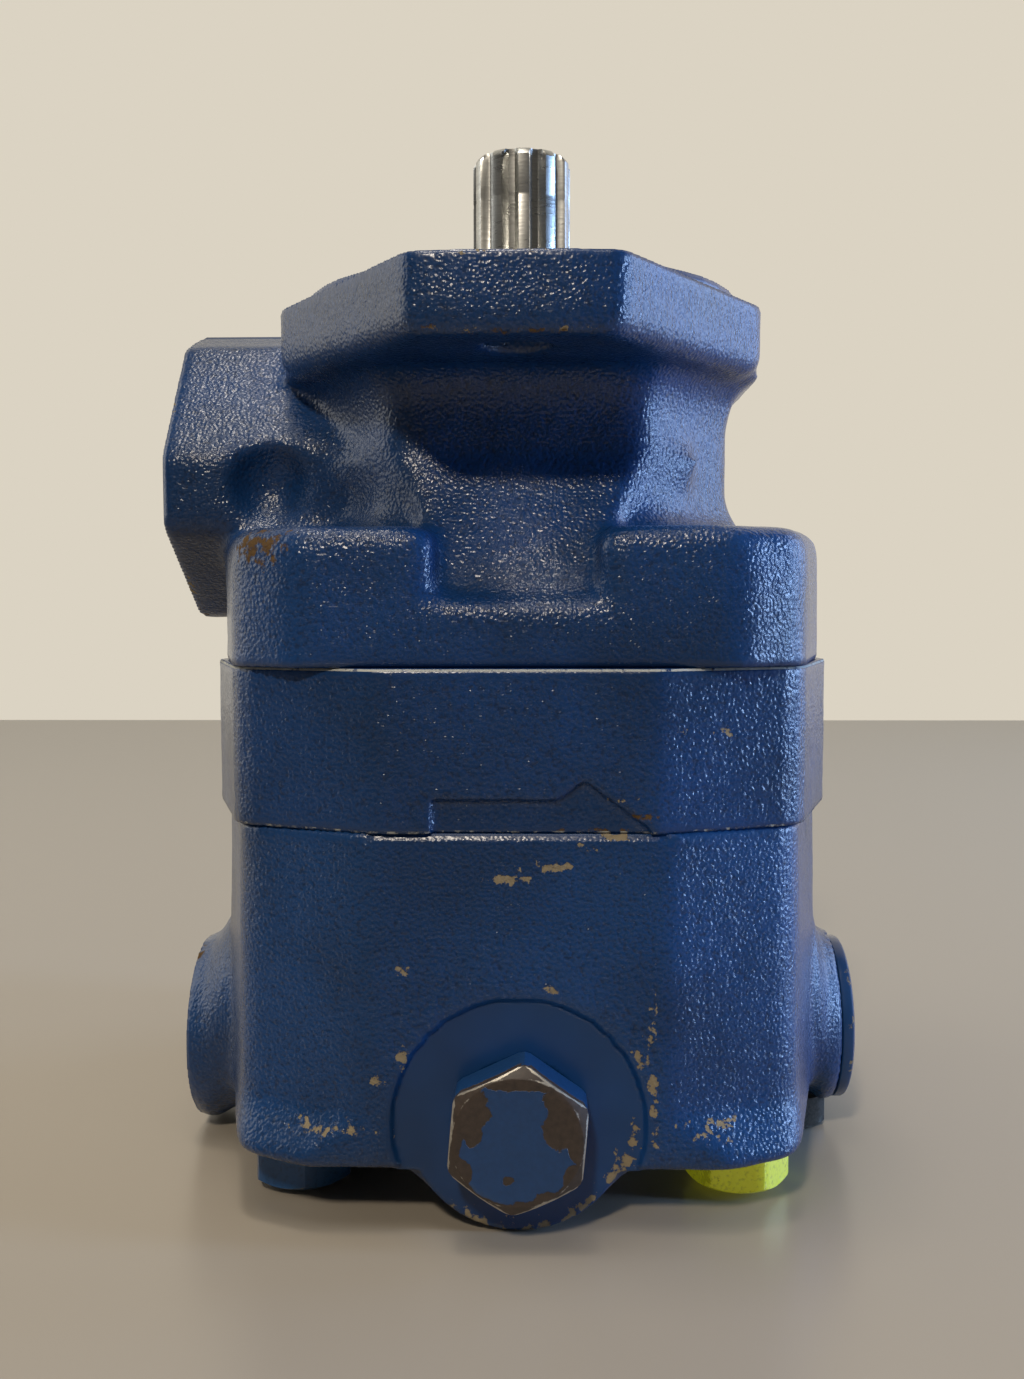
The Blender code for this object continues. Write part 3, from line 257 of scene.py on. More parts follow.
def edge_highlight_lines(tree, place, edges):
    """Strength of the pale lines painted round a piece as highlights on its edges, given as
    (height in mm, strength).
    """
    height = add_node(tree, "ShaderNodeSeparateXYZ", {}, {"Vector": place}).outputs["Z"]
    lines = 0.0
    for level, strength in edges:
        near = add_node(tree, "ShaderNodeMath", {"operation": "COMPARE"}, {
            0: height, 1: mm(level), 2: mm(HIGHLIGHT_WIDTH)})
        line = add_node(tree, "ShaderNodeMath", {"operation": "MULTIPLY"}, {
            0: near.outputs[0], 1: strength})
        lines = add_node(tree, "ShaderNodeMath", {"operation": "MAXIMUM"}, {
            0: lines, 1: line.outputs[0]}).outputs[0]
    return lines


def enamel(name, deep, bright, grain_depth, edges=()):
    """Gloss enamel over a rough metal skin: painted shade darkens the pits of the grain,
    with small bright glints where the glossy film runs over each grain, chipped to primer or
    brown in spots, and pale grey lines painted along edges as highlights, which are given as
    (height in mm, strength). The brown spots are corrosion, and on the yellow bolt head a
    painted shadow."""
    mat = bpy.data.materials.new(name)
    mat.use_nodes = True
    tree = mat.node_tree
    shader = tree.nodes["Principled BSDF"]
    place = add_node(tree, "ShaderNodeTexCoord").outputs["Object"]
    cast = add_node(tree, "ShaderNodeAttribute", {"attribute_name": "cast"}).outputs["Fac"]
    chipped = add_node(
        tree, "ShaderNodeAttribute", {"attribute_name": "chipped"}).outputs["Fac"]
    rust_and_shade_share = add_node(tree, "ShaderNodeAttribute", {"attribute_name": "rust_and_shade_share"}).outputs["Fac"]
    cloud = add_node(tree, "ShaderNodeTexNoise", {}, {
        "Vector": place, "Scale": per_metre(CLOUD), "Detail": 3.0})
    fleck = add_node(tree, "ShaderNodeTexNoise", {}, {
        "Vector": place, "Scale": per_metre(FLECK), "Detail": 4.0, "Roughness": 0.6})
    grain = add_node(tree, "ShaderNodeTexNoise", {}, {
        "Vector": place, "Scale": per_metre(GRAIN), "Detail": 1.5, "Roughness": 0.5})
    peel = add_node(tree, "ShaderNodeTexNoise", {}, {
        "Vector": place, "Scale": per_metre(PEEL), "Detail": 2.0})
    shade = add_node(tree, "ShaderNodeMapRange", {}, {
        "Value": cloud.outputs["Fac"], "From Min": 0.35, "From Max": 0.65})
    blue = add_node(tree, "ShaderNodeMix", {"data_type": "RGBA"}, {
        0: shade.outputs[0], 6: linear(deep), 7: linear(bright)})
    # The grain's low spots are mixed toward a deep blue: painted shade in the pits.
    pit = add_node(tree, "ShaderNodeMapRange", {}, {
        "Value": grain.outputs["Fac"], "From Min": 0.30, "From Max": 0.46,
        "To Min": 0.55, "To Max": 0.0})
    painted_pit_shade = add_node(tree, "ShaderNodeMath", {"operation": "MULTIPLY"}, {
        0: pit.outputs[0], 1: cast})
    dark = add_node(tree, "ShaderNodeMix", {"data_type": "RGBA"}, {
        0: painted_pit_shade.outputs[0], 6: blue.outputs[2], 7: linear("#10203a")})
    tan = add_node(tree, "ShaderNodeMix", {"data_type": "RGBA"}, {
        0: fleck.outputs["Fac"], 6: linear("#5d5446"), 7: linear("#a09379")})
    brown = add_node(tree, "ShaderNodeMix", {"data_type": "RGBA"}, {
        0: fleck.outputs["Fac"], 6: linear("#33291f"), 7: linear("#6c5434")})
    rough_edge = add_node(tree, "ShaderNodeMath", {"operation": "MULTIPLY_ADD"}, {
        0: fleck.outputs["Fac"], 1: 2.4, 2: -1.45})
    chip_sum = add_node(tree, "ShaderNodeMath", {"operation": "ADD"}, {
        0: chipped, 1: rough_edge.outputs[0]})
    chip = add_node(tree, "ShaderNodeMapRange", {}, {
        "Value": chip_sum.outputs[0], "From Min": 0.46, "From Max": 0.56})
    # Brown spots: corrosion, and on the yellow bolt head a brown patch of painted shadow.
    rust_and_shade_sum = add_node(tree, "ShaderNodeMath", {"operation": "ADD"}, {
        0: rust_and_shade_share, 1: rough_edge.outputs[0]})
    rust_and_shade = add_node(tree, "ShaderNodeMapRange", {}, {
        "Value": rust_and_shade_sum.outputs[0], "From Min": 0.40, "From Max": 0.62})
    with_chips = add_node(tree, "ShaderNodeMix", {"data_type": "RGBA"}, {
        0: chip.outputs[0], 6: dark.outputs[2], 7: tan.outputs[2]})
    colour = add_node(tree, "ShaderNodeMix", {"data_type": "RGBA"}, {
        0: rust_and_shade.outputs[0], 6: with_chips.outputs[2], 7: brown.outputs[2]})
    bare = add_node(tree, "ShaderNodeMath", {"operation": "MAXIMUM"}, {
        0: chip.outputs[0], 1: rust_and_shade.outputs[0]})
    # Pale grey lines at the given heights are painted highlights along the edges.
    if edges:
        line_sum = add_node(tree, "ShaderNodeMath", {"operation": "ADD"}, {
            0: edge_highlight_lines(tree, place, edges), 1: rough_edge.outputs[0]})
        painted_edge_highlight = add_node(tree, "ShaderNodeMapRange", {}, {
            "Value": line_sum.outputs[0], "From Min": 0.30, "From Max": 0.56})
        colour = add_node(tree, "ShaderNodeMix", {"data_type": "RGBA"}, {
            0: painted_edge_highlight.outputs[0], 6: colour.outputs[2], 7: linear("#aeb0ac")})
        bare = add_node(tree, "ShaderNodeMath", {"operation": "MAXIMUM"}, {
            0: bare.outputs[0], 1: painted_edge_highlight.outputs[0]})
    film = add_node(tree, "ShaderNodeMath", {"operation": "SUBTRACT"}, {
        0: 1.0, 1: bare.outputs[0]})
    gloss = add_node(tree, "ShaderNodeMapRange", {}, {
        "Value": fleck.outputs["Fac"], "From Min": 0.3, "From Max": 0.7,
        "To Min": 0.42, "To Max": 0.55})
    dull = add_node(tree, "ShaderNodeMix", {"data_type": "FLOAT"}, {
        0: bare.outputs[0], 2: gloss.outputs[0], 3: 0.75})
    raised = add_node(tree, "ShaderNodeMath", {"operation": "MULTIPLY"}, {
        0: grain.outputs["Fac"], 1: cast})
    sand = add_node(tree, "ShaderNodeBump", {}, {
        "Strength": 1.0, "Distance": mm(grain_depth), "Height": raised.outputs[0]})
    pool = add_node(tree, "ShaderNodeTexNoise", {}, {
        "Vector": place, "Scale": per_metre(POOL), "Detail": 0.0})
    pooled = add_node(tree, "ShaderNodeMath", {"operation": "MULTIPLY"}, {
        0: pool.outputs["Fac"], 1: cast})
    wet = add_node(tree, "ShaderNodeBump", {}, {
        "Strength": 1.0, "Distance": mm(grain_depth), "Height": pooled.outputs[0]})
    film_waves = add_node(tree, "ShaderNodeBump", {}, {
        "Strength": 1.0, "Distance": mm(PEEL_HEIGHT), "Height": peel.outputs["Fac"],
        "Normal": sand.outputs[0]})
    edge = add_node(tree, "ShaderNodeBump", {}, {
        "Strength": 1.0, "Distance": mm(CHIP_STEP), "Height": film.outputs[0],
        "Normal": film_waves.outputs[0]})
    tree.links.new(colour.outputs[2], shader.inputs["Base Color"])
    tree.links.new(dull.outputs[0], shader.inputs["Roughness"])
    tree.links.new(edge.outputs[0], shader.inputs["Normal"])
    tree.links.new(film.outputs[0], shader.inputs["Coat Weight"])
    tree.links.new(wet.outputs[0], shader.inputs["Coat Normal"])
    shader.inputs["Coat Roughness"].default_value = 0.25
    shader.inputs["Coat IOR"].default_value = 1.42
    shader.inputs["Specular IOR Level"].default_value = 0.10
    return mat


FLANGE_TOP = 152.1
PILOT_TOP = 157.3
BODY_FOOT = 90.15
INLET_X = -63.3
INLET_Z = 125.0
INLET_REACH = 20.6
INLET_END = -40.0
INNER_REACH = 33.0
SEALER = 0.13


def body_machined(p):
    """One on the faces cut after casting: flange top, pilot, joint face, inlet face."""
    reach = np.hypot(p[:, 0], p[:, 1])
    cut = (p[:, 2] > FLANGE_TOP - 0.9) | (p[:, 2] < BODY_FOOT + 1.15)
    cut |= (p[:, 0] < INLET_X + 0.9) | (reach < INNER_REACH)
    cut |= (np.hypot(p[:, 1], p[:, 2] - INLET_Z) < INLET_REACH) & (p[:, 0] < INLET_END)
    return cut.astype(float)


# Flange top, joint face, inlet face and pilot top. The gasket sealer fills most of the
# gap at a joint face.
body_planes = [(2, FLANGE_TOP, FLANGE_TOP), (2, BODY_FOOT, BODY_FOOT - SEALER),
               (0, INLET_X, INLET_X), (2, PILOT_TOP, PILOT_TOP)]
# Fillets that the moulder swept by hand: round the neck, down the front and back ramps
# into the recess, the hollows beside the inlet boss, and the bosses' upright corners.
body_fillets = [((42.0, 0.0, 112.0), (9.0, 20.0, 12.0), 0.5)]
for y in (-1.0, 1.0):
    body_fillets += [
        ((0.0, y * 46.0, 118.0), (36.0, 13.0, 17.0), 0.10),
        ((0.0, y * 53.0, 101.6), (22.0, 5.0, 3.6), 0.35),
        ((-44.0, y * 31.0, 121.0), (11.0, 9.0, 11.0), 0.42)]
    for x in (-1.0, 1.0):
        body_fillets += [
            ((x * 30.0, y * 29.0, 119.0), (10.0, 10.0, 12.0), 1.0),
            ((x * 37.0, y * 55.0, 102.0), (6.0, 6.0, 9.0), 0.6),
            ((x * 50.0, y * 47.0, 102.0), (6.0, 6.0, 9.0), 0.6)]
body_paint = enamel("blue enamel on cast iron", "#0c2f59", "#103b71", 0.21)
body_chips = [
    ((-12.0, -65.0, 140.9), (3.2, 1.6, 0.8), 0.75),
    ((-6.0, -65.0, 140.5), (4.0, 1.6, 0.6), 0.6),
    ((8.0, -65.0, 140.6), (5.0, 1.6, 0.7), 0.7),
    ((-41.0, -52.0, 108.0), (2.5, 2.0, 2.5), 0.6),
    ((37.0, -51.0, 111.5), (3.0, 3.0, 0.8), 0.7),
    ((-3.0, -65.0, 151.9), (12.0, 1.2, 0.6), 0.6),
    ((-62.8, -18.0, 137.0), (1.2, 6.0, 2.5), 0.65),
    ((-62.9, -12.0, 104.0), (1.2, 5.0, 3.0), 0.7)]
body_rust = [
    ((-43.5, -53.0, 109.4), (6.0, 5.0, 3.8), 0.88),
    ((-13.0, -65.0, 141.0), (2.6, 1.4, 0.9), 0.8),
    ((2.0, -65.0, 140.2), (9.0, 1.5, 0.7), 0.72),
    ((-62.6, 4.0, 99.0), (2.5, 8.0, 2.2), 0.8)]
body = cast_skin("pump_body", "body_casting", BODY_GRID, body_planes, body_machined,
                 BODY_PASSES, body_fillets, body_chips, body_rust)
body.data.materials.clear()
body.data.materials.append(body_paint)
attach(body, "housing")
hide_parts("pump_body")


# Cam ring: the hardened ring round the vanes. Its outside is left as forged and takes
# the same enamel, with the arrow for the turning direction pressed in. Pale grey lines
# are painted along its top and foot edges, a painted highlight where they catch the light.
RING_GRID = 0.5
RING_PASSES = 8
RING_TOP = 89.85
RING_FOOT = 64.25
TRACK_REACH = 36.0
ARROW_KEPT = 0.75


def ring_machined(p):
    """One on the ground faces and the track, and a share on the crisp arrow recess."""
    reach = np.hypot(p[:, 0], p[:, 1])
    cut = (p[:, 2] > RING_TOP - 0.9) | (p[:, 2] < RING_FOOT + 0.9) | (reach < TRACK_REACH)
    arrow = (np.abs(p[:, 0]) < 26.0) & (p[:, 1] < -55.0)
    arrow &= (p[:, 2] > 63.0) & (p[:, 2] < 74.0)
    return np.where(cut, 1.0, np.where(arrow, ARROW_KEPT, 0.0))


# The ring's top and foot edges get pale grey lines of painted highlight.
ring_paint = enamel("blue enamel on forged steel", "#0c2f59", "#11396d", 0.20,
                    [(RING_TOP - 0.14, 0.98), (RING_FOOT + 0.1, 0.55)])
ring_chips = [
    ((-16.6, -58.2, 80.5), (4.0, 2.0, 0.9), 0.5), ((31.0, -54.0, 80.0), (7.0, 4.0, 0.8), 0.62),
    ((16.0, -58.0, 69.5), (5.0, 2.0, 0.5), 0.55)]
ring_rust = [
    ((19.2, -58.0, 66.6), (2.6, 2.0, 1.6), 0.7), ((12.0, -58.0, 64.6), (9.0, 2.0, 0.5), 0.7)]
ring_planes = [(2, RING_TOP, RING_TOP + SEALER), (2, RING_FOOT, RING_FOOT - SEALER)]
ring = cast_skin("cam_ring", "ring_forging", RING_GRID, ring_planes, ring_machined,
                 RING_PASSES, [], ring_chips, ring_rust)
ring.data.materials.clear()
ring.data.materials.append(ring_paint)
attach(ring, "housing")
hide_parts("cam_ring")


# Outlet cover: the second iron casting, which carries both side ports and the valve
# bore across its foot. The valve's seat is milled flat and painted over. The paint is
# scuffed round the seat's rim and across the front.
COVER_GRID = 0.6
COVER_PASSES = 18
COVER_TOP = 63.95
OUTLET_X = -61.6
SPARE_PORT_X = 58.8
PORT_Y = -6.8
PORT_Z = 19.5
PORT_REACH = 14.0
VALVE_X = 0.3
VALVE_Z = 17.8
VALVE_REACH = 10.6
SEAT_Y = -57.2
SEAT_REACH = 20.9
RIM_REACH = 18.0
RIM_Z = 18.2


def cover_machined(p):
    """One on the joint face, both port faces, the valve's seat and the bores."""
    off = np.hypot(p[:, 0] - VALVE_X, p[:, 2] - VALVE_Z)
    cut = (p[:, 2] > COVER_TOP - 1.05)
    cut |= (p[:, 0] < OUTLET_X + 0.8) | (p[:, 0] > SPARE_PORT_X - 0.7)
    cut |= (off < SEAT_REACH) & (p[:, 1] < SEAT_Y + 1.2)
    cut |= off < VALVE_REACH
    cut |= np.hypot(p[:, 1] - PORT_Y, p[:, 2] - PORT_Z) < PORT_REACH
    return cut.astype(float)


cover_paint = enamel("blue enamel on cast iron cover", "#0c305a", "#113e74", 0.22)
cover_chips = [
    ((-1.0, -57.9, 57.0), (4.4, 2.0, 1.0), 0.78), ((5.0, -57.9, 59.0), (5.0, 2.0, 1.0), 0.76),
    ((11.0, -57.9, 62.0), (4.0, 2.0, 1.0), 0.66), ((15.6, -57.5, 63.6), (2.8, 2.0, 0.8), 0.74),
    ((-18.4, -57.9, 42.3), (1.8, 2.0, 1.0), 0.7), ((-21.7, -57.9, 25.0), (1.6, 2.0, 1.2), 0.75),
    ((-18.2, -57.9, 28.4), (1.2, 2.0, 2.6), 0.72), ((-15.3, -57.9, 31.0), (1.0, 2.0, 1.0), 0.6),
    ((-22.0, -57.9, 9.4), (1.8, 2.0, 1.2), 0.66), ((21.6, -57.9, 36.4), (0.9, 2.0, 2.2), 0.8),
    ((21.2, -57.9, 31.6), (1.0, 2.0, 2.4), 0.8), ((19.8, -57.9, 28.4), (1.5, 2.0, 2.2), 0.85),
    ((21.5, -57.9, 24.6), (1.2, 2.0, 2.6), 0.8), ((21.6, -57.9, 20.6), (0.8, 2.0, 2.0), 0.75),
    ((21.8, -57.9, 15.6), (0.8, 2.0, 1.6), 0.7), ((6.1, -57.9, 39.4), (2.6, 2.0, 0.8), 0.66),
    ((30.0, -56.5, 46.0), (1.0, 1.5, 1.0), 0.6), ((-31.0, -57.0, 16.8), (9.0, 4.0, 2.0), 0.66),
    ((33.5, -57.0, 16.8), (8.5, 4.0, 1.9), 0.66), ((50.0, -30.0, 60.0), (2.0, 6.0, 2.0), 0.5)]
for step in range(15):
    turn = math.radians(-125.0 + 8.5 * step)
    cover_chips.append((
        (VALVE_X + RIM_REACH * math.cos(turn), SEAT_Y, RIM_Z + RIM_REACH * math.sin(turn)),
        (2.0, 0.55, 2.0), 0.72))
cover_rust = [
    ((-61.0, -10.0, 33.0), (1.6, 6.0, 2.0), 0.8), ((-22.0, -57.0, 8.9), (3.0, 2.0, 0.9), 0.6)]
cover_planes = [(2, COVER_TOP, COVER_TOP + SEALER), (0, OUTLET_X, OUTLET_X),
                (0, SPARE_PORT_X, SPARE_PORT_X), (1, SEAT_Y, SEAT_Y)]
cover = cast_skin("outlet_cover", "cover_casting", COVER_GRID, cover_planes, cover_machined,
                  COVER_PASSES, [], cover_chips, cover_rust)
cover.data.materials.clear()
cover.data.materials.append(cover_paint)
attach(cover, "housing")
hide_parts("outlet_cover")


# Drive shaft: hardened alloy steel, turned and ground, with eleven spline teeth hobbed
# into its end and a thin witness ring where the coupling stopped. Bare metal, lightly
# oiled, brighter on the ground tooth tops than in the roots.
TEETH = 11
TOOTH_POINTS = 16
TOOTH_TURN = 0.36
FLANK_END = 0.72
FLANK_SHARE = 0.36
SHAFT_TOP = 185.2
TIP_RADIUS = 9.32
ROOT_RADIUS = 7.75
WITNESS_Z = 176.6
MARK = 0.5
STAIN = 5.0


def add_rows(bm, rows):
    """Join rings of points in millimetres with quads and close the ends."""
    made = [[bm.verts.new((mm(x), mm(y), mm(z))) for x, y, z in row] for row in rows]
    count = len(made[0])
    for lower, upper in zip(made, made[1:]):
        for i in range(count):
            j = (i + 1) % count
            bm.faces.new((lower[i], lower[j], upper[j], upper[i]))
    bm.faces.new(list(reversed(made[0])))
    bm.faces.new(made[-1])


def smooth_piece(name, bm, limit=32.0):
    """Make a piece from a bmesh, smooth apart from edges sharper than a limit."""
    bmesh.ops.recalc_face_normals(bm, faces=bm.faces)
    for face in bm.faces:
        face.smooth = True
    for e in bm.edges:
        if len(e.link_faces) == 2:
            e.smooth = e.calc_face_angle(0.0) < math.radians(limit)
    mesh = bpy.data.meshes.new(name)
    bm.to_mesh(mesh)
    bm.free()
    return link_object(name, mesh)


def tooth_row(tip, root, z, base=None):
    """One ring round the splined end: flat tooth tops, sloping flanks, round roots."""
    row = []
    for k in range(TEETH):
        for n in range(TOOTH_POINTS):
            phase = n / TOOTH_POINTS
            off = abs(phase - 0.5) * 2.0
            rise = min(1.0, max(0.0, (FLANK_END - off) / FLANK_SHARE))
            rise = rise * rise * (3.0 - 2.0 * rise)
            radius = root + (tip - root) * rise
            if base is not None:
                radius = min(radius, base)
            turn = 2.0 * math.pi * (k + TOOTH_TURN - 0.5 + phase) / TEETH
            row.append((radius * math.cos(turn), radius * math.sin(turn), z))
    return row


def round_row(radius, z):
    """One plain round ring with as many points as a tooth row."""
    return tooth_row(radius, radius, z)


bm = bmesh.new()
rows = [round_row(r, z) for r, z in (
    (8.6, 60.5), (9.6, 61.6), (9.6, 90.6), (10.5, 91.4), (10.5, 108.8), (11.1, 109.6),
    (11.1, 135.0), (14.6, 135.2), (14.6, 137.6), (12.2, 137.7), (12.2, 153.3), (11.3, 153.35),
    (11.3, 154.9), (12.2, 154.95), (12.2, 155.9), (9.42, 158.3))]
rows += [tooth_row(TIP_RADIUS, TIP_RADIUS - 0.1, 159.6),
         tooth_row(TIP_RADIUS, 8.6, 160.9), tooth_row(TIP_RADIUS, ROOT_RADIUS, 162.4),
         tooth_row(TIP_RADIUS, ROOT_RADIUS, WITNESS_Z - 0.5),
         tooth_row(TIP_RADIUS - 0.05, ROOT_RADIUS, WITNESS_Z - 0.25),
         tooth_row(TIP_RADIUS - 0.05, ROOT_RADIUS, WITNESS_Z + 0.25),
         tooth_row(TIP_RADIUS, ROOT_RADIUS, WITNESS_Z + 0.5),
         tooth_row(TIP_RADIUS, ROOT_RADIUS, SHAFT_TOP - 1.3),
         tooth_row(TIP_RADIUS, ROOT_RADIUS, SHAFT_TOP - 0.55, TIP_RADIUS - 0.5),
         tooth_row(TIP_RADIUS, ROOT_RADIUS, SHAFT_TOP, TIP_RADIUS - 1.1)]
rows += [round_row(r, z) for r, z in (
    (4.3, SHAFT_TOP), (1.6, SHAFT_TOP - 2.6), (1.6, SHAFT_TOP - 5.5), (0.2, SHAFT_TOP - 6.4))]
add_rows(bm, rows)
shaft = smooth_piece("splined_shaft", bm, 28.0)


def bare_steel(name, dark, light, lay, shine):
    """Ground or turned bare metal: fine marks of the tool, drawn out where the lay's
    scale is below one, and faint stains that vary the colour and the gloss."""
    mat = bpy.data.materials.new(name)
    mat.use_nodes = True
    tree = mat.node_tree
    shader = tree.nodes["Principled BSDF"]
    place = add_node(tree, "ShaderNodeTexCoord").outputs["Object"]
    stretch = add_node(tree, "ShaderNodeMapping", {}, {"Vector": place, "Scale": lay})
    marks = add_node(tree, "ShaderNodeTexNoise", {}, {
        "Vector": stretch.outputs[0], "Scale": per_metre(MARK), "Detail": 3.0})
    stain = add_node(tree, "ShaderNodeTexNoise", {}, {
        "Vector": place, "Scale": per_metre(STAIN), "Detail": 4.0})
    half_marks = add_node(tree, "ShaderNodeMath", {"operation": "MULTIPLY"}, {
        0: marks.outputs["Fac"], 1: 0.5})
    total = add_node(tree, "ShaderNodeMath", {"operation": "MULTIPLY_ADD"}, {
        0: stain.outputs["Fac"], 1: 0.5, 2: half_marks.outputs[0]})
    spread = add_node(tree, "ShaderNodeMapRange", {}, {
        "Value": total.outputs[0], "From Min": 0.38, "From Max": 0.62})
    colour = add_node(tree, "ShaderNodeMix", {"data_type": "RGBA"}, {
        0: spread.outputs[0], 6: linear(dark), 7: linear(light)})
    gloss = add_node(tree, "ShaderNodeMapRange", {}, {
        "Value": total.outputs[0], "From Min": 0.35, "From Max": 0.65,
        "To Min": shine + 0.09, "To Max": shine - 0.05})
    bump = add_node(tree, "ShaderNodeBump", {}, {
        "Strength": 0.6, "Distance": mm(0.03), "Height": marks.outputs["Fac"]})
    tree.links.new(colour.outputs[2], shader.inputs["Base Color"])
    tree.links.new(gloss.outputs[0], shader.inputs["Roughness"])
    tree.links.new(bump.outputs[0], shader.inputs["Normal"])
    shader.inputs["Metallic"].default_value = 1.0
    return mat


shaft_steel = bare_steel("ground shaft steel", "#a5a6a4", "#cbccc9", (0.15, 0.15, 1.0), 0.30)
shaft.data.materials.append(shaft_steel)
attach(shaft, "rotating_group")
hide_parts("drive_shaft")


# Pumping group and bearing: hardened steel rotor, vanes and races, bronze plate and
# bush, rubber seals, brass cage. They are hidden in the closed pump, apart from the
# bearing's mouth, and keep their solids with a finish of their own.
MOTTLE = 1.2


def dress(nodes, mat):
    """Give solids that stay as they are a finish of their own."""
    for name in nodes:
        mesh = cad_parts[name].data
        mesh.materials.clear()
        mesh.materials.append(mat)


def rubber(name, tone):
    """Moulded nitrile rubber: dark, faintly mottled and satin."""
    mat = bpy.data.materials.new(name)
    mat.use_nodes = True
    tree = mat.node_tree
    shader = tree.nodes["Principled BSDF"]
    place = add_node(tree, "ShaderNodeTexCoord").outputs["Object"]
    mottle = add_node(tree, "ShaderNodeTexNoise", {}, {
        "Vector": place, "Scale": per_metre(MOTTLE), "Detail": 3.0})
    colour = add_node(tree, "ShaderNodeMix", {"data_type": "RGBA"}, {
        0: mottle.outputs["Fac"], 6: linear("#0d0d0e"), 7: linear(tone)})
    bump = add_node(tree, "ShaderNodeBump", {}, {
        "Strength": 0.4, "Distance": mm(0.04), "Height": mottle.outputs["Fac"]})
    tree.links.new(colour.outputs[2], shader.inputs["Base Color"])
    tree.links.new(bump.outputs[0], shader.inputs["Normal"])
    shader.inputs["Roughness"].default_value = 0.55
    return mat


race_steel = bare_steel("ground bearing steel", "#8a8782", "#b7b4ad", (1.0, 1.0, 0.2), 0.20)
tool_steel = bare_steel("hardened tool steel", "#4b4945", "#6e6b65", (1.0, 1.0, 0.3), 0.26)
spring_steel = bare_steel("oiled spring steel", "#2f2e2c", "#4a4844", (1.0, 1.0, 1.0), 0.36)
plate_bronze = bare_steel("turned bearing bronze", "#7d5a2e", "#a98148", (0.2, 0.2, 1.0), 0.32)
cage_brass = bare_steel("pressed brass", "#8f7235", "#bfa05a", (1.0, 1.0, 1.0), 0.30)
seal_rubber = rubber("nitrile rubber", "#242527")
dress(["rotor", "locating_pin_1", "locating_pin_2", "flow_control_spool", "relief_poppet",
       "relief_spring_retainer"], shaft_steel)
dress(["vane_%02d" % (k + 1) for k in range(12)], tool_steel)
dress(["bearing_inner_race", "bearing_outer_race"], race_steel)
dress(["bearing_cage"], cage_brass)
dress(["pressure_plate", "shaft_bush"], plate_bronze)
dress(["pressure_plate_spring", "seal_garter_spring", "shaft_retaining_ring",
       "bearing_retaining_ring"], spring_steel)
dress(["shaft_seal_case"], race_steel)
dress(["plate_hub_seal", "body_ring_seal", "ring_cover_seal", "shaft_seal_lip",
       "valve_plug_o_ring"], seal_rubber)


# Bearing balls: lapped bright and round. Each is a little smaller than its solid, for
# the working clearance in the races' grooves.
BALL_FIT = 0.96
for k in range(8):
    node = "bearing_ball_%d" % (k + 1)
    ball_low, ball_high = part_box(node)
    middle = (Vector(ball_low) + Vector(ball_high)) / 2.0
    radius = (ball_high[2] - ball_low[2]) / 2.0
    bm = bmesh.new()
    bmesh.ops.create_icosphere(bm, subdivisions=3, radius=radius * BALL_FIT)
    bmesh.ops.translate(bm, verts=bm.verts, vec=middle)
    ball = smooth_piece("lapped_ball_%d" % (k + 1), bm)
    ball.data.materials.append(race_steel)
    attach(ball, "ball_set")
    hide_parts(node)


# Valve springs: two coil springs, which in the pump shorten as the spool and the relief
# poppet move back. Each is a copy of its solid, carried with its own body.
for name, node, body_name, joint, rear, keep in (
        ("spool_coil", "flow_control_spring", "housing", "spool_slide", 34.16, 0.74),
        ("relief_coil", "relief_spring", "control_spool", "relief_slide", -2.82, 0.84)):
    coil = link_object(name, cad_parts[node].data.copy())
    coil.data.materials.clear()
    coil.data.materials.append(spring_steel)
    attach(coil, body_name)
    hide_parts(node)
    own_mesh(coil)


# Cover bolts: four hexagon head bolts up through the cover and ring into the body.
# They were painted with the pump, and the front right head has yellow marker paint.
# The blue heads are a lighter blue than the body, painted light for the shade under the
# cover, and the yellow head has a faint painted glow and a brown painted shadow at its left
# front.
HEAD_STEPS = 12
FACE_LAND = 0.35
FACE_DROP = 0.03
BOLT_SEAT = 9.7
BOLT_FLATS = 15.875
BOLT_HEAD = 8.4


def hexagon_ring(flats, z, corner):
    """Ring of (radius, turn, height) round a hexagon with slightly rounded corners."""
    row = []
    for k in range(6 * HEAD_STEPS):
        turn = 2.0 * math.pi * k / (6 * HEAD_STEPS)
        off = (turn + math.pi / 6.0) % (math.pi / 3.0) - math.pi / 6.0
        across = flats / 2.0 / math.cos(off)
        row.append((min(across, flats / math.sqrt(3.0) - corner), turn, z))
    return row


def hexagon_head(bm, flats, low, high, crown, corner=0.25):
    """Hexagon head along +Z whose free face, at low, is turned to a round chamfer."""
    inner = flats / 2.0 - FACE_LAND
    edge = hexagon_ring(flats, low, corner)
    slope = crown / (flats / math.sqrt(3.0) - inner)
    rows = [[(inner * k / 12.0, turn, low) for _, turn, _ in edge] for k in range(1, 12)]
    rows.append([(inner - 0.12, turn, low) for _, turn, _ in edge])
    for share in (0.05, 0.5, 0.85, 1.0):
        rows.append([(inner + (r - inner) * share, turn,
                      low + FACE_DROP + slope * (r - inner) * share) for r, turn, _ in edge])
    for share in (0.04, 0.12, 0.3, 0.6, 0.9, 1.0):
        row = []
        for r, turn, _ in edge:
            drop = FACE_DROP + slope * (r - inner)
            row.append((r, turn, low + drop + (high - low - drop) * share))
        rows.append(row)
    placed = [[(r * math.cos(t), r * math.sin(t), z) for r, t, z in row] for row in rows]
    add_rows(bm, placed)


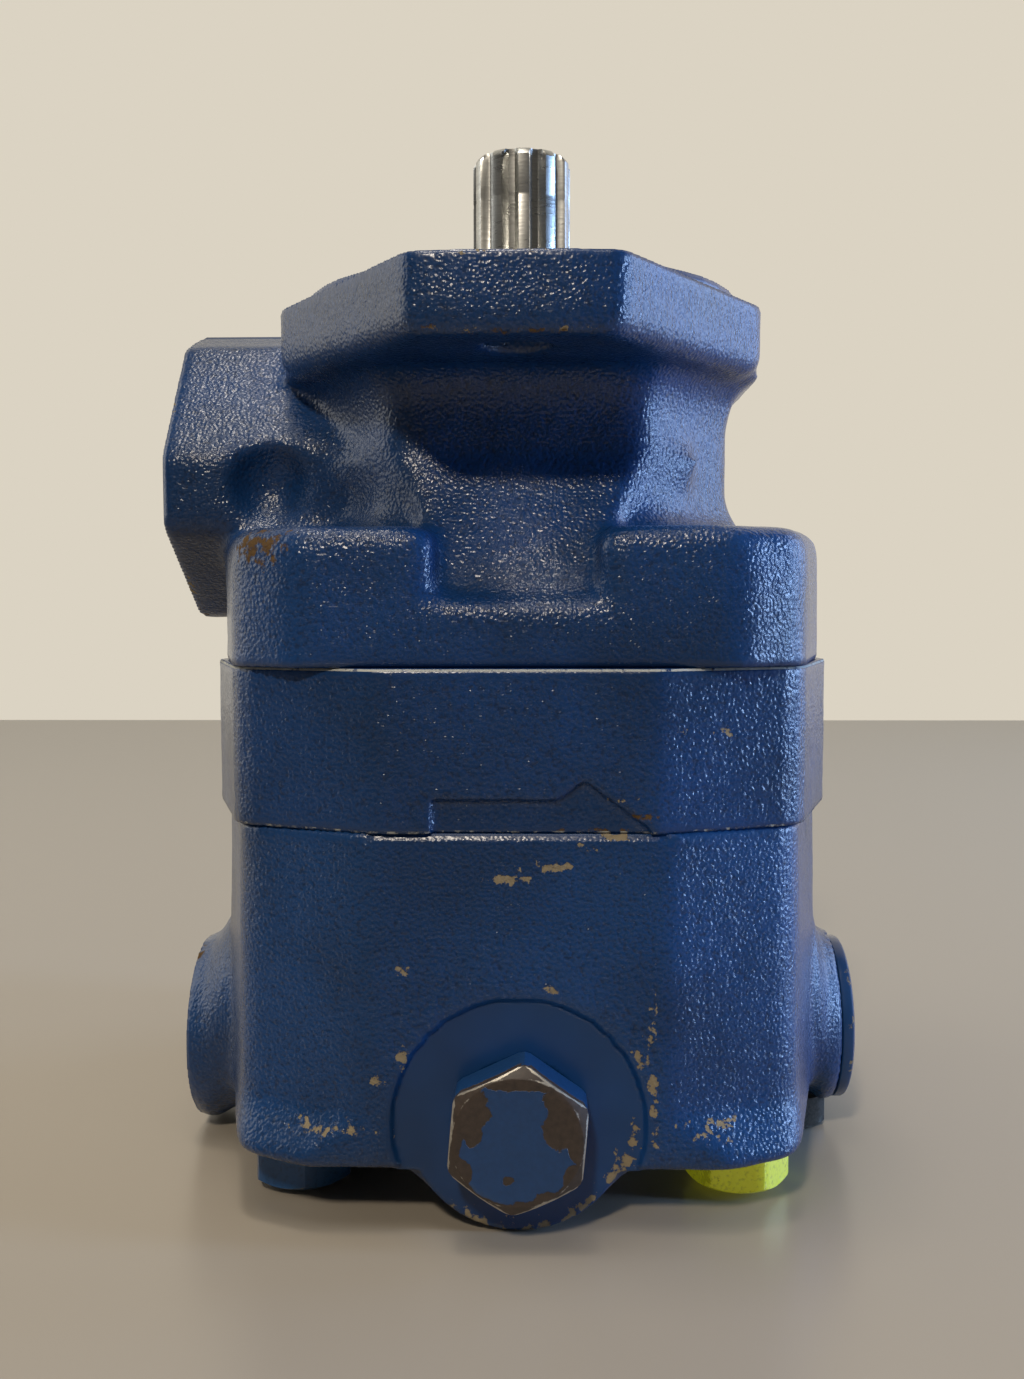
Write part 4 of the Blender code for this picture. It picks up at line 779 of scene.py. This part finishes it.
def turn_and_place(bm, turn, axis, place):
    """Turn a piece about its own axis, then stand it along an axis at a place in mm."""
    stand = {"X": (90.0, "Y"), "Y": (-90.0, "X"), "Z": (0.0, "X")}[axis]
    for angle, about in ((turn, "Z"), (math.radians(stand[0]), stand[1])):
        bmesh.ops.rotate(bm, verts=bm.verts, cent=(0.0, 0.0, 0.0),
                         matrix=Matrix.Rotation(angle, 3, about))
    bmesh.ops.translate(bm, verts=bm.verts, vec=Vector([mm(v) for v in place]))


def turned(bm, profile, steps=48):
    """Add a round solid along +Z from a profile of (radius, height) in mm."""
    rows = []
    for radius, z in profile:
        rows.append([(radius * math.cos(2.0 * math.pi * k / steps),
                      radius * math.sin(2.0 * math.pi * k / steps), z) for k in range(steps)])
    add_rows(bm, rows)


def wear_of(piece, cast, chips, rust_and_shade):
    """Store how rough and chipped a piece is, and its brown spots of corrosion and of painted
    shadow, for the enamel to read.
    """
    p = points_of(piece.data) * 1000.0
    store(piece.data, "cast", np.full(len(p), cast))
    store(piece.data, "chipped", spots(p, chips))
    store(piece.data, "rust_and_shade_share", spots(p, rust_and_shade))


# The heads' blue is lighter than the body's enamel: painted light for the shade under the
# cover.
head_paint_lightened = enamel("blue enamel on a bolt head", "#1c4470", "#2a5a90", 0.08)
marker = enamel("yellow marker paint", "#f4f43c", "#fbfb60", 0.10)
# A faint yellow glow is added to the marker paint: painted light that brightens the head in the
# cover's shade.
marker_painted_glow = marker.node_tree.nodes["Principled BSDF"]
marker_painted_glow.inputs["Emission Color"].default_value = linear("#f0f428")
marker_painted_glow.inputs["Emission Strength"].default_value = 0.10
bolt_places = {
    "cover_bolt_front_left": (-37.5, -37.5, 11.0),
    "cover_bolt_front_right": (37.5, -37.5, 24.0),
    "cover_bolt_rear_left": (-37.5, 37.5, 4.0),
    "cover_bolt_rear_right": (37.5, 37.5, 37.0)}
for node, (x, y, turn) in bolt_places.items():
    bm = bmesh.new()
    hexagon_head(bm, BOLT_FLATS, BOLT_SEAT - BOLT_HEAD, BOLT_SEAT - 0.5, 1.1)
    turned(bm, [(7.4, BOLT_SEAT - 0.6), (7.6, BOLT_SEAT - 0.4), (7.6, BOLT_SEAT - 0.02)])
    turned(bm, [(5.56, BOLT_SEAT - 2.0), (5.56, 104.4), (4.56, 105.6)], 32)
    turn_and_place(bm, math.radians(turn), "Z", (x, y, 0.0))
    bolt = smooth_piece(node.replace("cover_bolt", "bolt"), bm, 25.0)
    yellow = node == "cover_bolt_front_right"
    # The yellow head's left front gets a brown patch: painted shadow where the cover shades it.
    rust_and_shade = [((x - 6.5, y - 5.5, 4.5), (2.6, 3.0, 2.6), 0.9)] if yellow else []
    chips = [] if yellow else [((x, y - 8.0, 1.4), (9.0, 2.0, 0.5), 0.55)]
    wear_of(bolt, 0.6, chips, rust_and_shade)
    bolt.data.materials.append(marker if yellow else head_paint_lightened)
    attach(bolt, "housing")
    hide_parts(node)


# Valve plug: the hexagon plug that closes the flow control bore at the front of the
# foot. Spanners have taken the paint off its corners and parts of its face, down to
# brown stained steel with bright edges.
PLUG_FACE = -65.4
PLUG_FLATS = 20.9
PLUG_TURN = 5.0
PLUG_CROWN = 1.25
PATCH = 3.0
FINE = 0.9
bm = bmesh.new()
hexagon_head(bm, PLUG_FLATS, 0.0, 7.9, PLUG_CROWN, 0.3)
turned(bm, [(8.7, 7.8), (8.7, 10.6), (9.6, 11.0), (9.6, 20.4), (8.4, 21.6)])
turn_and_place(bm, math.radians(PLUG_TURN), "Y", (VALVE_X, PLUG_FACE, VALVE_Z))
plug = smooth_piece("valve_plug", bm, 20.0)


def head_wear(piece, place, flats, turn, patches):
    """Wear of a hexagon face that looks along -Y: bare patches as (x, z, width, height)
    ellipses from its centre, bare corners past the chamfer's circle, bright edges."""
    p = points_of(piece.data) * 1000.0 - np.array(place)
    reach = np.hypot(p[:, 0], p[:, 2])
    around = np.degrees(np.arctan2(p[:, 2], p[:, 0])) + turn
    off = np.radians((around + 30.0) % 60.0 - 30.0)
    rim = flats / 2.0 / np.cos(off)
    bare = np.zeros(len(p))
    for x, z, width, height in patches:
        far = np.hypot((p[:, 0] - x) / width, (p[:, 2] - z) / height)
        bare = np.maximum(bare, np.clip(1.5 - far, 0.0, 1.0))
    bare = np.maximum(bare, np.clip((reach - (flats / 2.0 - 1.1)) / 1.0, 0.0, 0.95))
    bare *= (p[:, 1] < 1.8)
    inner = flats / 2.0 - FACE_LAND
    slope = PLUG_CROWN / (flats / math.sqrt(3.0) - inner)
    edge_depth = FACE_DROP + slope * (rim - inner)
    near = np.hypot(rim - reach, (p[:, 1] - edge_depth) * 0.8)
    bright = np.clip(1.0 - near / 0.55, 0.0, 1.0) * 0.9
    circle = np.clip(1.0 - np.abs(reach - flats / 2.0 + 0.3) / 0.5, 0.0, 1.0)
    bright = np.maximum(bright, 0.42 * circle)
    store(piece.data, "cast", np.full(len(p), 0.2))
    store(piece.data, "rust_and_shade_share", bare)
    store(piece.data, "chipped", bright)


def plug_finish():
    """Enamel, brown stained steel and bright worn edges of the plug, each where the
    values stored by head_wear say."""
    mat = bpy.data.materials.new("worn enamel on a steel plug")
    mat.use_nodes = True
    tree = mat.node_tree
    shader = tree.nodes["Principled BSDF"]
    place = add_node(tree, "ShaderNodeTexCoord").outputs["Object"]
    fleck = add_node(tree, "ShaderNodeTexNoise", {}, {
        "Vector": place, "Scale": per_metre(PATCH), "Detail": 5.0, "Roughness": 0.62})
    fine = add_node(tree, "ShaderNodeTexNoise", {}, {
        "Vector": place, "Scale": per_metre(FINE), "Detail": 3.0})
    chipped = add_node(
        tree, "ShaderNodeAttribute", {"attribute_name": "chipped"}).outputs["Fac"]
    rust_and_shade_share = add_node(tree, "ShaderNodeAttribute", {"attribute_name": "rust_and_shade_share"}).outputs["Fac"]
    ragged = add_node(tree, "ShaderNodeMath", {"operation": "MULTIPLY_ADD"}, {
        0: fleck.outputs["Fac"], 1: 1.3, 2: -0.65})
    worn = add_node(tree, "ShaderNodeMath", {"operation": "ADD"}, {
        0: rust_and_shade_share, 1: ragged.outputs[0]})
    bare = add_node(tree, "ShaderNodeMapRange", {}, {
        "Value": worn.outputs[0], "From Min": 0.47, "From Max": 0.53})
    bright_sum = add_node(tree, "ShaderNodeMath", {"operation": "ADD"}, {
        0: chipped, 1: ragged.outputs[0]})
    bright = add_node(tree, "ShaderNodeMapRange", {}, {
        "Value": bright_sum.outputs[0], "From Min": 0.46, "From Max": 0.58})
    blue = add_node(tree, "ShaderNodeMix", {"data_type": "RGBA"}, {
        0: fine.outputs["Fac"], 6: linear("#15365f"), 7: linear("#1c4475")})
    brown = add_node(tree, "ShaderNodeMix", {"data_type": "RGBA"}, {
        0: fine.outputs["Fac"], 6: linear("#241f1c"), 7: linear("#4a3d34")})
    steel = add_node(tree, "ShaderNodeMix", {"data_type": "RGBA"}, {
        0: fine.outputs["Fac"], 6: linear("#8b877f"), 7: linear("#cfcabf")})
    under = add_node(tree, "ShaderNodeMix", {"data_type": "RGBA"}, {
        0: bare.outputs[0], 6: blue.outputs[2], 7: brown.outputs[2]})
    colour = add_node(tree, "ShaderNodeMix", {"data_type": "RGBA"}, {
        0: bright.outputs[0], 6: under.outputs[2], 7: steel.outputs[2]})
    metal = add_node(tree, "ShaderNodeMath", {"operation": "MULTIPLY"}, {
        0: bright.outputs[0], 1: 0.9})
    gloss = add_node(tree, "ShaderNodeMapRange", {}, {
        "Value": bare.outputs[0], "To Min": 0.3, "To Max": 0.5})
    film = add_node(tree, "ShaderNodeMath", {"operation": "SUBTRACT"}, {
        0: 1.0, 1: bare.outputs[0]})
    step_bump = add_node(tree, "ShaderNodeBump", {}, {
        "Strength": 0.8, "Distance": mm(0.08), "Height": film.outputs[0]})
    skin = add_node(tree, "ShaderNodeBump", {}, {
        "Strength": 0.5, "Distance": mm(0.05), "Height": fine.outputs["Fac"],
        "Normal": step_bump.outputs[0]})
    tree.links.new(colour.outputs[2], shader.inputs["Base Color"])
    tree.links.new(metal.outputs[0], shader.inputs["Metallic"])
    tree.links.new(gloss.outputs[0], shader.inputs["Roughness"])
    tree.links.new(skin.outputs[0], shader.inputs["Normal"])
    return mat


plug.data.materials.append(plug_finish())
head_wear(plug, (VALVE_X, PLUG_FACE, VALVE_Z), PLUG_FLATS, PLUG_TURN, [
    (-7.2, 5.4, 3.2, 3.6), (-6.8, 1.6, 1.7, 2.4), (-10.0, -1.0, 1.3, 4.4),
    (-8.6, -5.2, 1.6, 2.2), (-2.5, 9.4, 5.2, 1.1), (2.5, 9.3, 4.6, 1.1),
    (6.4, 6.4, 2.6, 2.2), (6.9, 2.2, 3.3, 3.2),
    (9.0, -1.0, 1.4, 1.9), (-1.5, -5.9, 1.0, 0.7), (8.6, -5.4, 1.4, 2.2), (5.4, -8.8, 3.4, 1.2),
    (1.4, -10.0, 2.6, 1.0)])
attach(plug, "housing")
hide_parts("flow_valve_plug")


# Port plugs: a flanged plug with a hexagon socket closes the spare side port, and a
# small hexagon plug closes the drilling under it. The first is painted over and worn
# bright round its rim, and the second is oiled dark steel.
SIDE_PLUG_FACE = 61.5
SIDE_PLUG_PLACE = (0.0, -6.8, 20.4)
SIDE_RIM = 14.9
LOWER_FLATS = 19.05
LOWER_PLACE = (48.8, -5.5, 0.0)
side_paint = enamel("blue enamel on a port plug", "#12335a", "#1b416e", 0.08)
bm = bmesh.new()
profile = [(8.3, 46.5), (9.3, 47.5), (9.3, 59.1), (15.0, 59.12), (15.2, 59.3), (15.2, 60.7),
           (15.0, 61.1), (14.5, 61.4), (13.9, SIDE_PLUG_FACE), (11.0, SIDE_PLUG_FACE),
           (7.4, SIDE_PLUG_FACE)]
around = hexagon_ring(9.5, 0.0, 0.15)
rows = [[(r * math.cos(t), r * math.sin(t), z) for _, t, _ in around] for r, z in profile]
for share, depth in ((1.06, 0.0), (1.0, 0.25), (1.0, 4.6), (0.2, 5.6)):
    rows.append([(share * r * math.cos(t), share * r * math.sin(t), SIDE_PLUG_FACE - depth)
                 for r, t, _ in around])
add_rows(bm, rows)
turn_and_place(bm, 0.0, "X", SIDE_PLUG_PLACE)
side_plug = smooth_piece("side_plug", bm, 30.0)
_, rim_y, rim_z = SIDE_PLUG_PLACE
rim_chips = [
    ((61.0, rim_y + SIDE_RIM * math.cos(t), rim_z + SIDE_RIM * math.sin(t)),
     (0.9, 2.6, 2.6), 0.62)
    for t in (0.3, 0.9, 2.4, 3.0, 3.5, 4.0, 4.6, 5.5)]
wear_of(side_plug, 0.2, rim_chips, [((61.4, rim_y, rim_z), (1.0, 6.4, 6.4), 0.62)])
side_plug.data.materials.append(side_paint)
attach(side_plug, "housing")
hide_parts("side_port_plug")

bm = bmesh.new()
hexagon_head(bm, LOWER_FLATS, 0.0, 5.9, 1.0)
turned(bm, [(4.3, 5.8), (4.3, 10.0), (3.7, 10.6)], 32)
turn_and_place(bm, 0.0, "Z", LOWER_PLACE)
lower_plug = smooth_piece("lower_plug", bm, 25.0)
lower_plug.data.materials.append(spring_steel)
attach(lower_plug, "housing")
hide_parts("lower_port_plug")


# Floor, wall and lamps: a plain pale bench top that ends at a plain cream wall. Two
# lamps at the right are like windows, a small one is in front, a large and a small one
# are overhead, and a weak one is at the left. Lengths are metres.
BENCH_DEPTH = 0.912
ROOM = 3.0
WALL_FOOT = -0.5
WALL_TOP = 2.5
BENCH_ROUGHNESS = 0.28
BENCH_COLOUR = "#a2998b"
WALL_COLOUR = "#dbd3c3"
LAMP_AIM = 0.09
ROOM_LIGHT = 0.05


def flat_sheet(name, corners, colour):
    """A plain sheet of four corners, for show only."""
    mesh = bpy.data.meshes.new(name)
    mesh.from_pydata(corners, [], [(0, 1, 2, 3)])
    sheet = link_object(name, mesh)
    mat = bpy.data.materials.new(name)
    mat.use_nodes = True
    shader = mat.node_tree.nodes["Principled BSDF"]
    shader.inputs["Base Color"].default_value = linear(colour)
    shader.inputs["Roughness"].default_value = BENCH_ROUGHNESS
    mesh.materials.append(mat)
    return sheet


def plain_to_camera(sheet, colour):
    """Show a backdrop at one even colour to the camera and in reflections."""
    tree = sheet.data.materials[0].node_tree
    path = add_node(tree, "ShaderNodeLightPath")
    seen = add_node(tree, "ShaderNodeMath", {"operation": "MAXIMUM"}, {
        0: path.outputs["Is Camera Ray"], 1: path.outputs["Is Glossy Ray"]})
    glow = add_node(tree, "ShaderNodeEmission", {}, {"Color": linear(colour), "Strength": 1.0})
    mix = add_node(tree, "ShaderNodeMixShader", {}, {
        0: seen.outputs[0], 1: tree.nodes["Principled BSDF"].outputs[0], 2: glow.outputs[0]})
    tree.links.new(mix.outputs[0], tree.nodes["Material Output"].inputs["Surface"])


flat_sheet("pale_bench", [
    (-ROOM, -ROOM, 0.0), (ROOM, -ROOM, 0.0), (ROOM, BENCH_DEPTH, 0.0),
    (-ROOM, BENCH_DEPTH, 0.0)], BENCH_COLOUR)
wall = flat_sheet("cream_wall", [
    (-ROOM, BENCH_DEPTH, WALL_FOOT), (ROOM, BENCH_DEPTH, WALL_FOOT),
    (ROOM, BENCH_DEPTH, WALL_TOP), (-ROOM, BENCH_DEPTH, WALL_TOP)], WALL_COLOUR)
plain_to_camera(wall, WALL_COLOUR)


def lamp(name, place, size, power, colour):
    """A soft rectangular lamp that looks at the middle of the pump."""
    light = bpy.data.lights.new(name, "AREA")
    light.shape = "RECTANGLE"
    light.size = size[0]
    light.size_y = size[1]
    light.energy = power
    light.color = linear(colour)[:3]
    ob = bpy.data.objects.new(name, light)
    bpy.context.scene.collection.objects.link(ob)
    ob.location = place
    aim = Vector((0.0, 0.0, LAMP_AIM)) - Vector(place)
    ob.rotation_euler = aim.to_track_quat("-Z", "Y").to_euler()


lamp("window lamp", (1.0, -0.14, 0.24), (0.14, 0.45), 7.6, "#a6cbff")
lamp("side window lamp", (0.92, 0.38, 0.34), (0.45, 0.7), 4.6, "#9fc4ff")
lamp("front lamp", (-0.18, -0.90, 0.84), (0.10, 0.10), 6.4, "#fff1dd")
lamp("overhead lamp", (-0.1, -0.30, 1.25), (0.8, 0.5), 3.4, "#fff8ee")
lamp("small overhead lamp", (-0.10, -0.06, 1.25), (0.30, 0.14), 3.4, "#fff4e4")
lamp("left lamp", (-1.0, 0.10, 0.45), (0.7, 0.8), 2.9, "#f6f4ee")
world = bpy.data.worlds.new("room")
world.use_nodes = True
world.node_tree.nodes["Background"].inputs["Color"].default_value = linear("#f3eee6")
world.node_tree.nodes["Background"].inputs["Strength"].default_value = ROOM_LIGHT
bpy.context.scene.world = world
bpy.context.scene.view_settings.view_transform = "Standard"
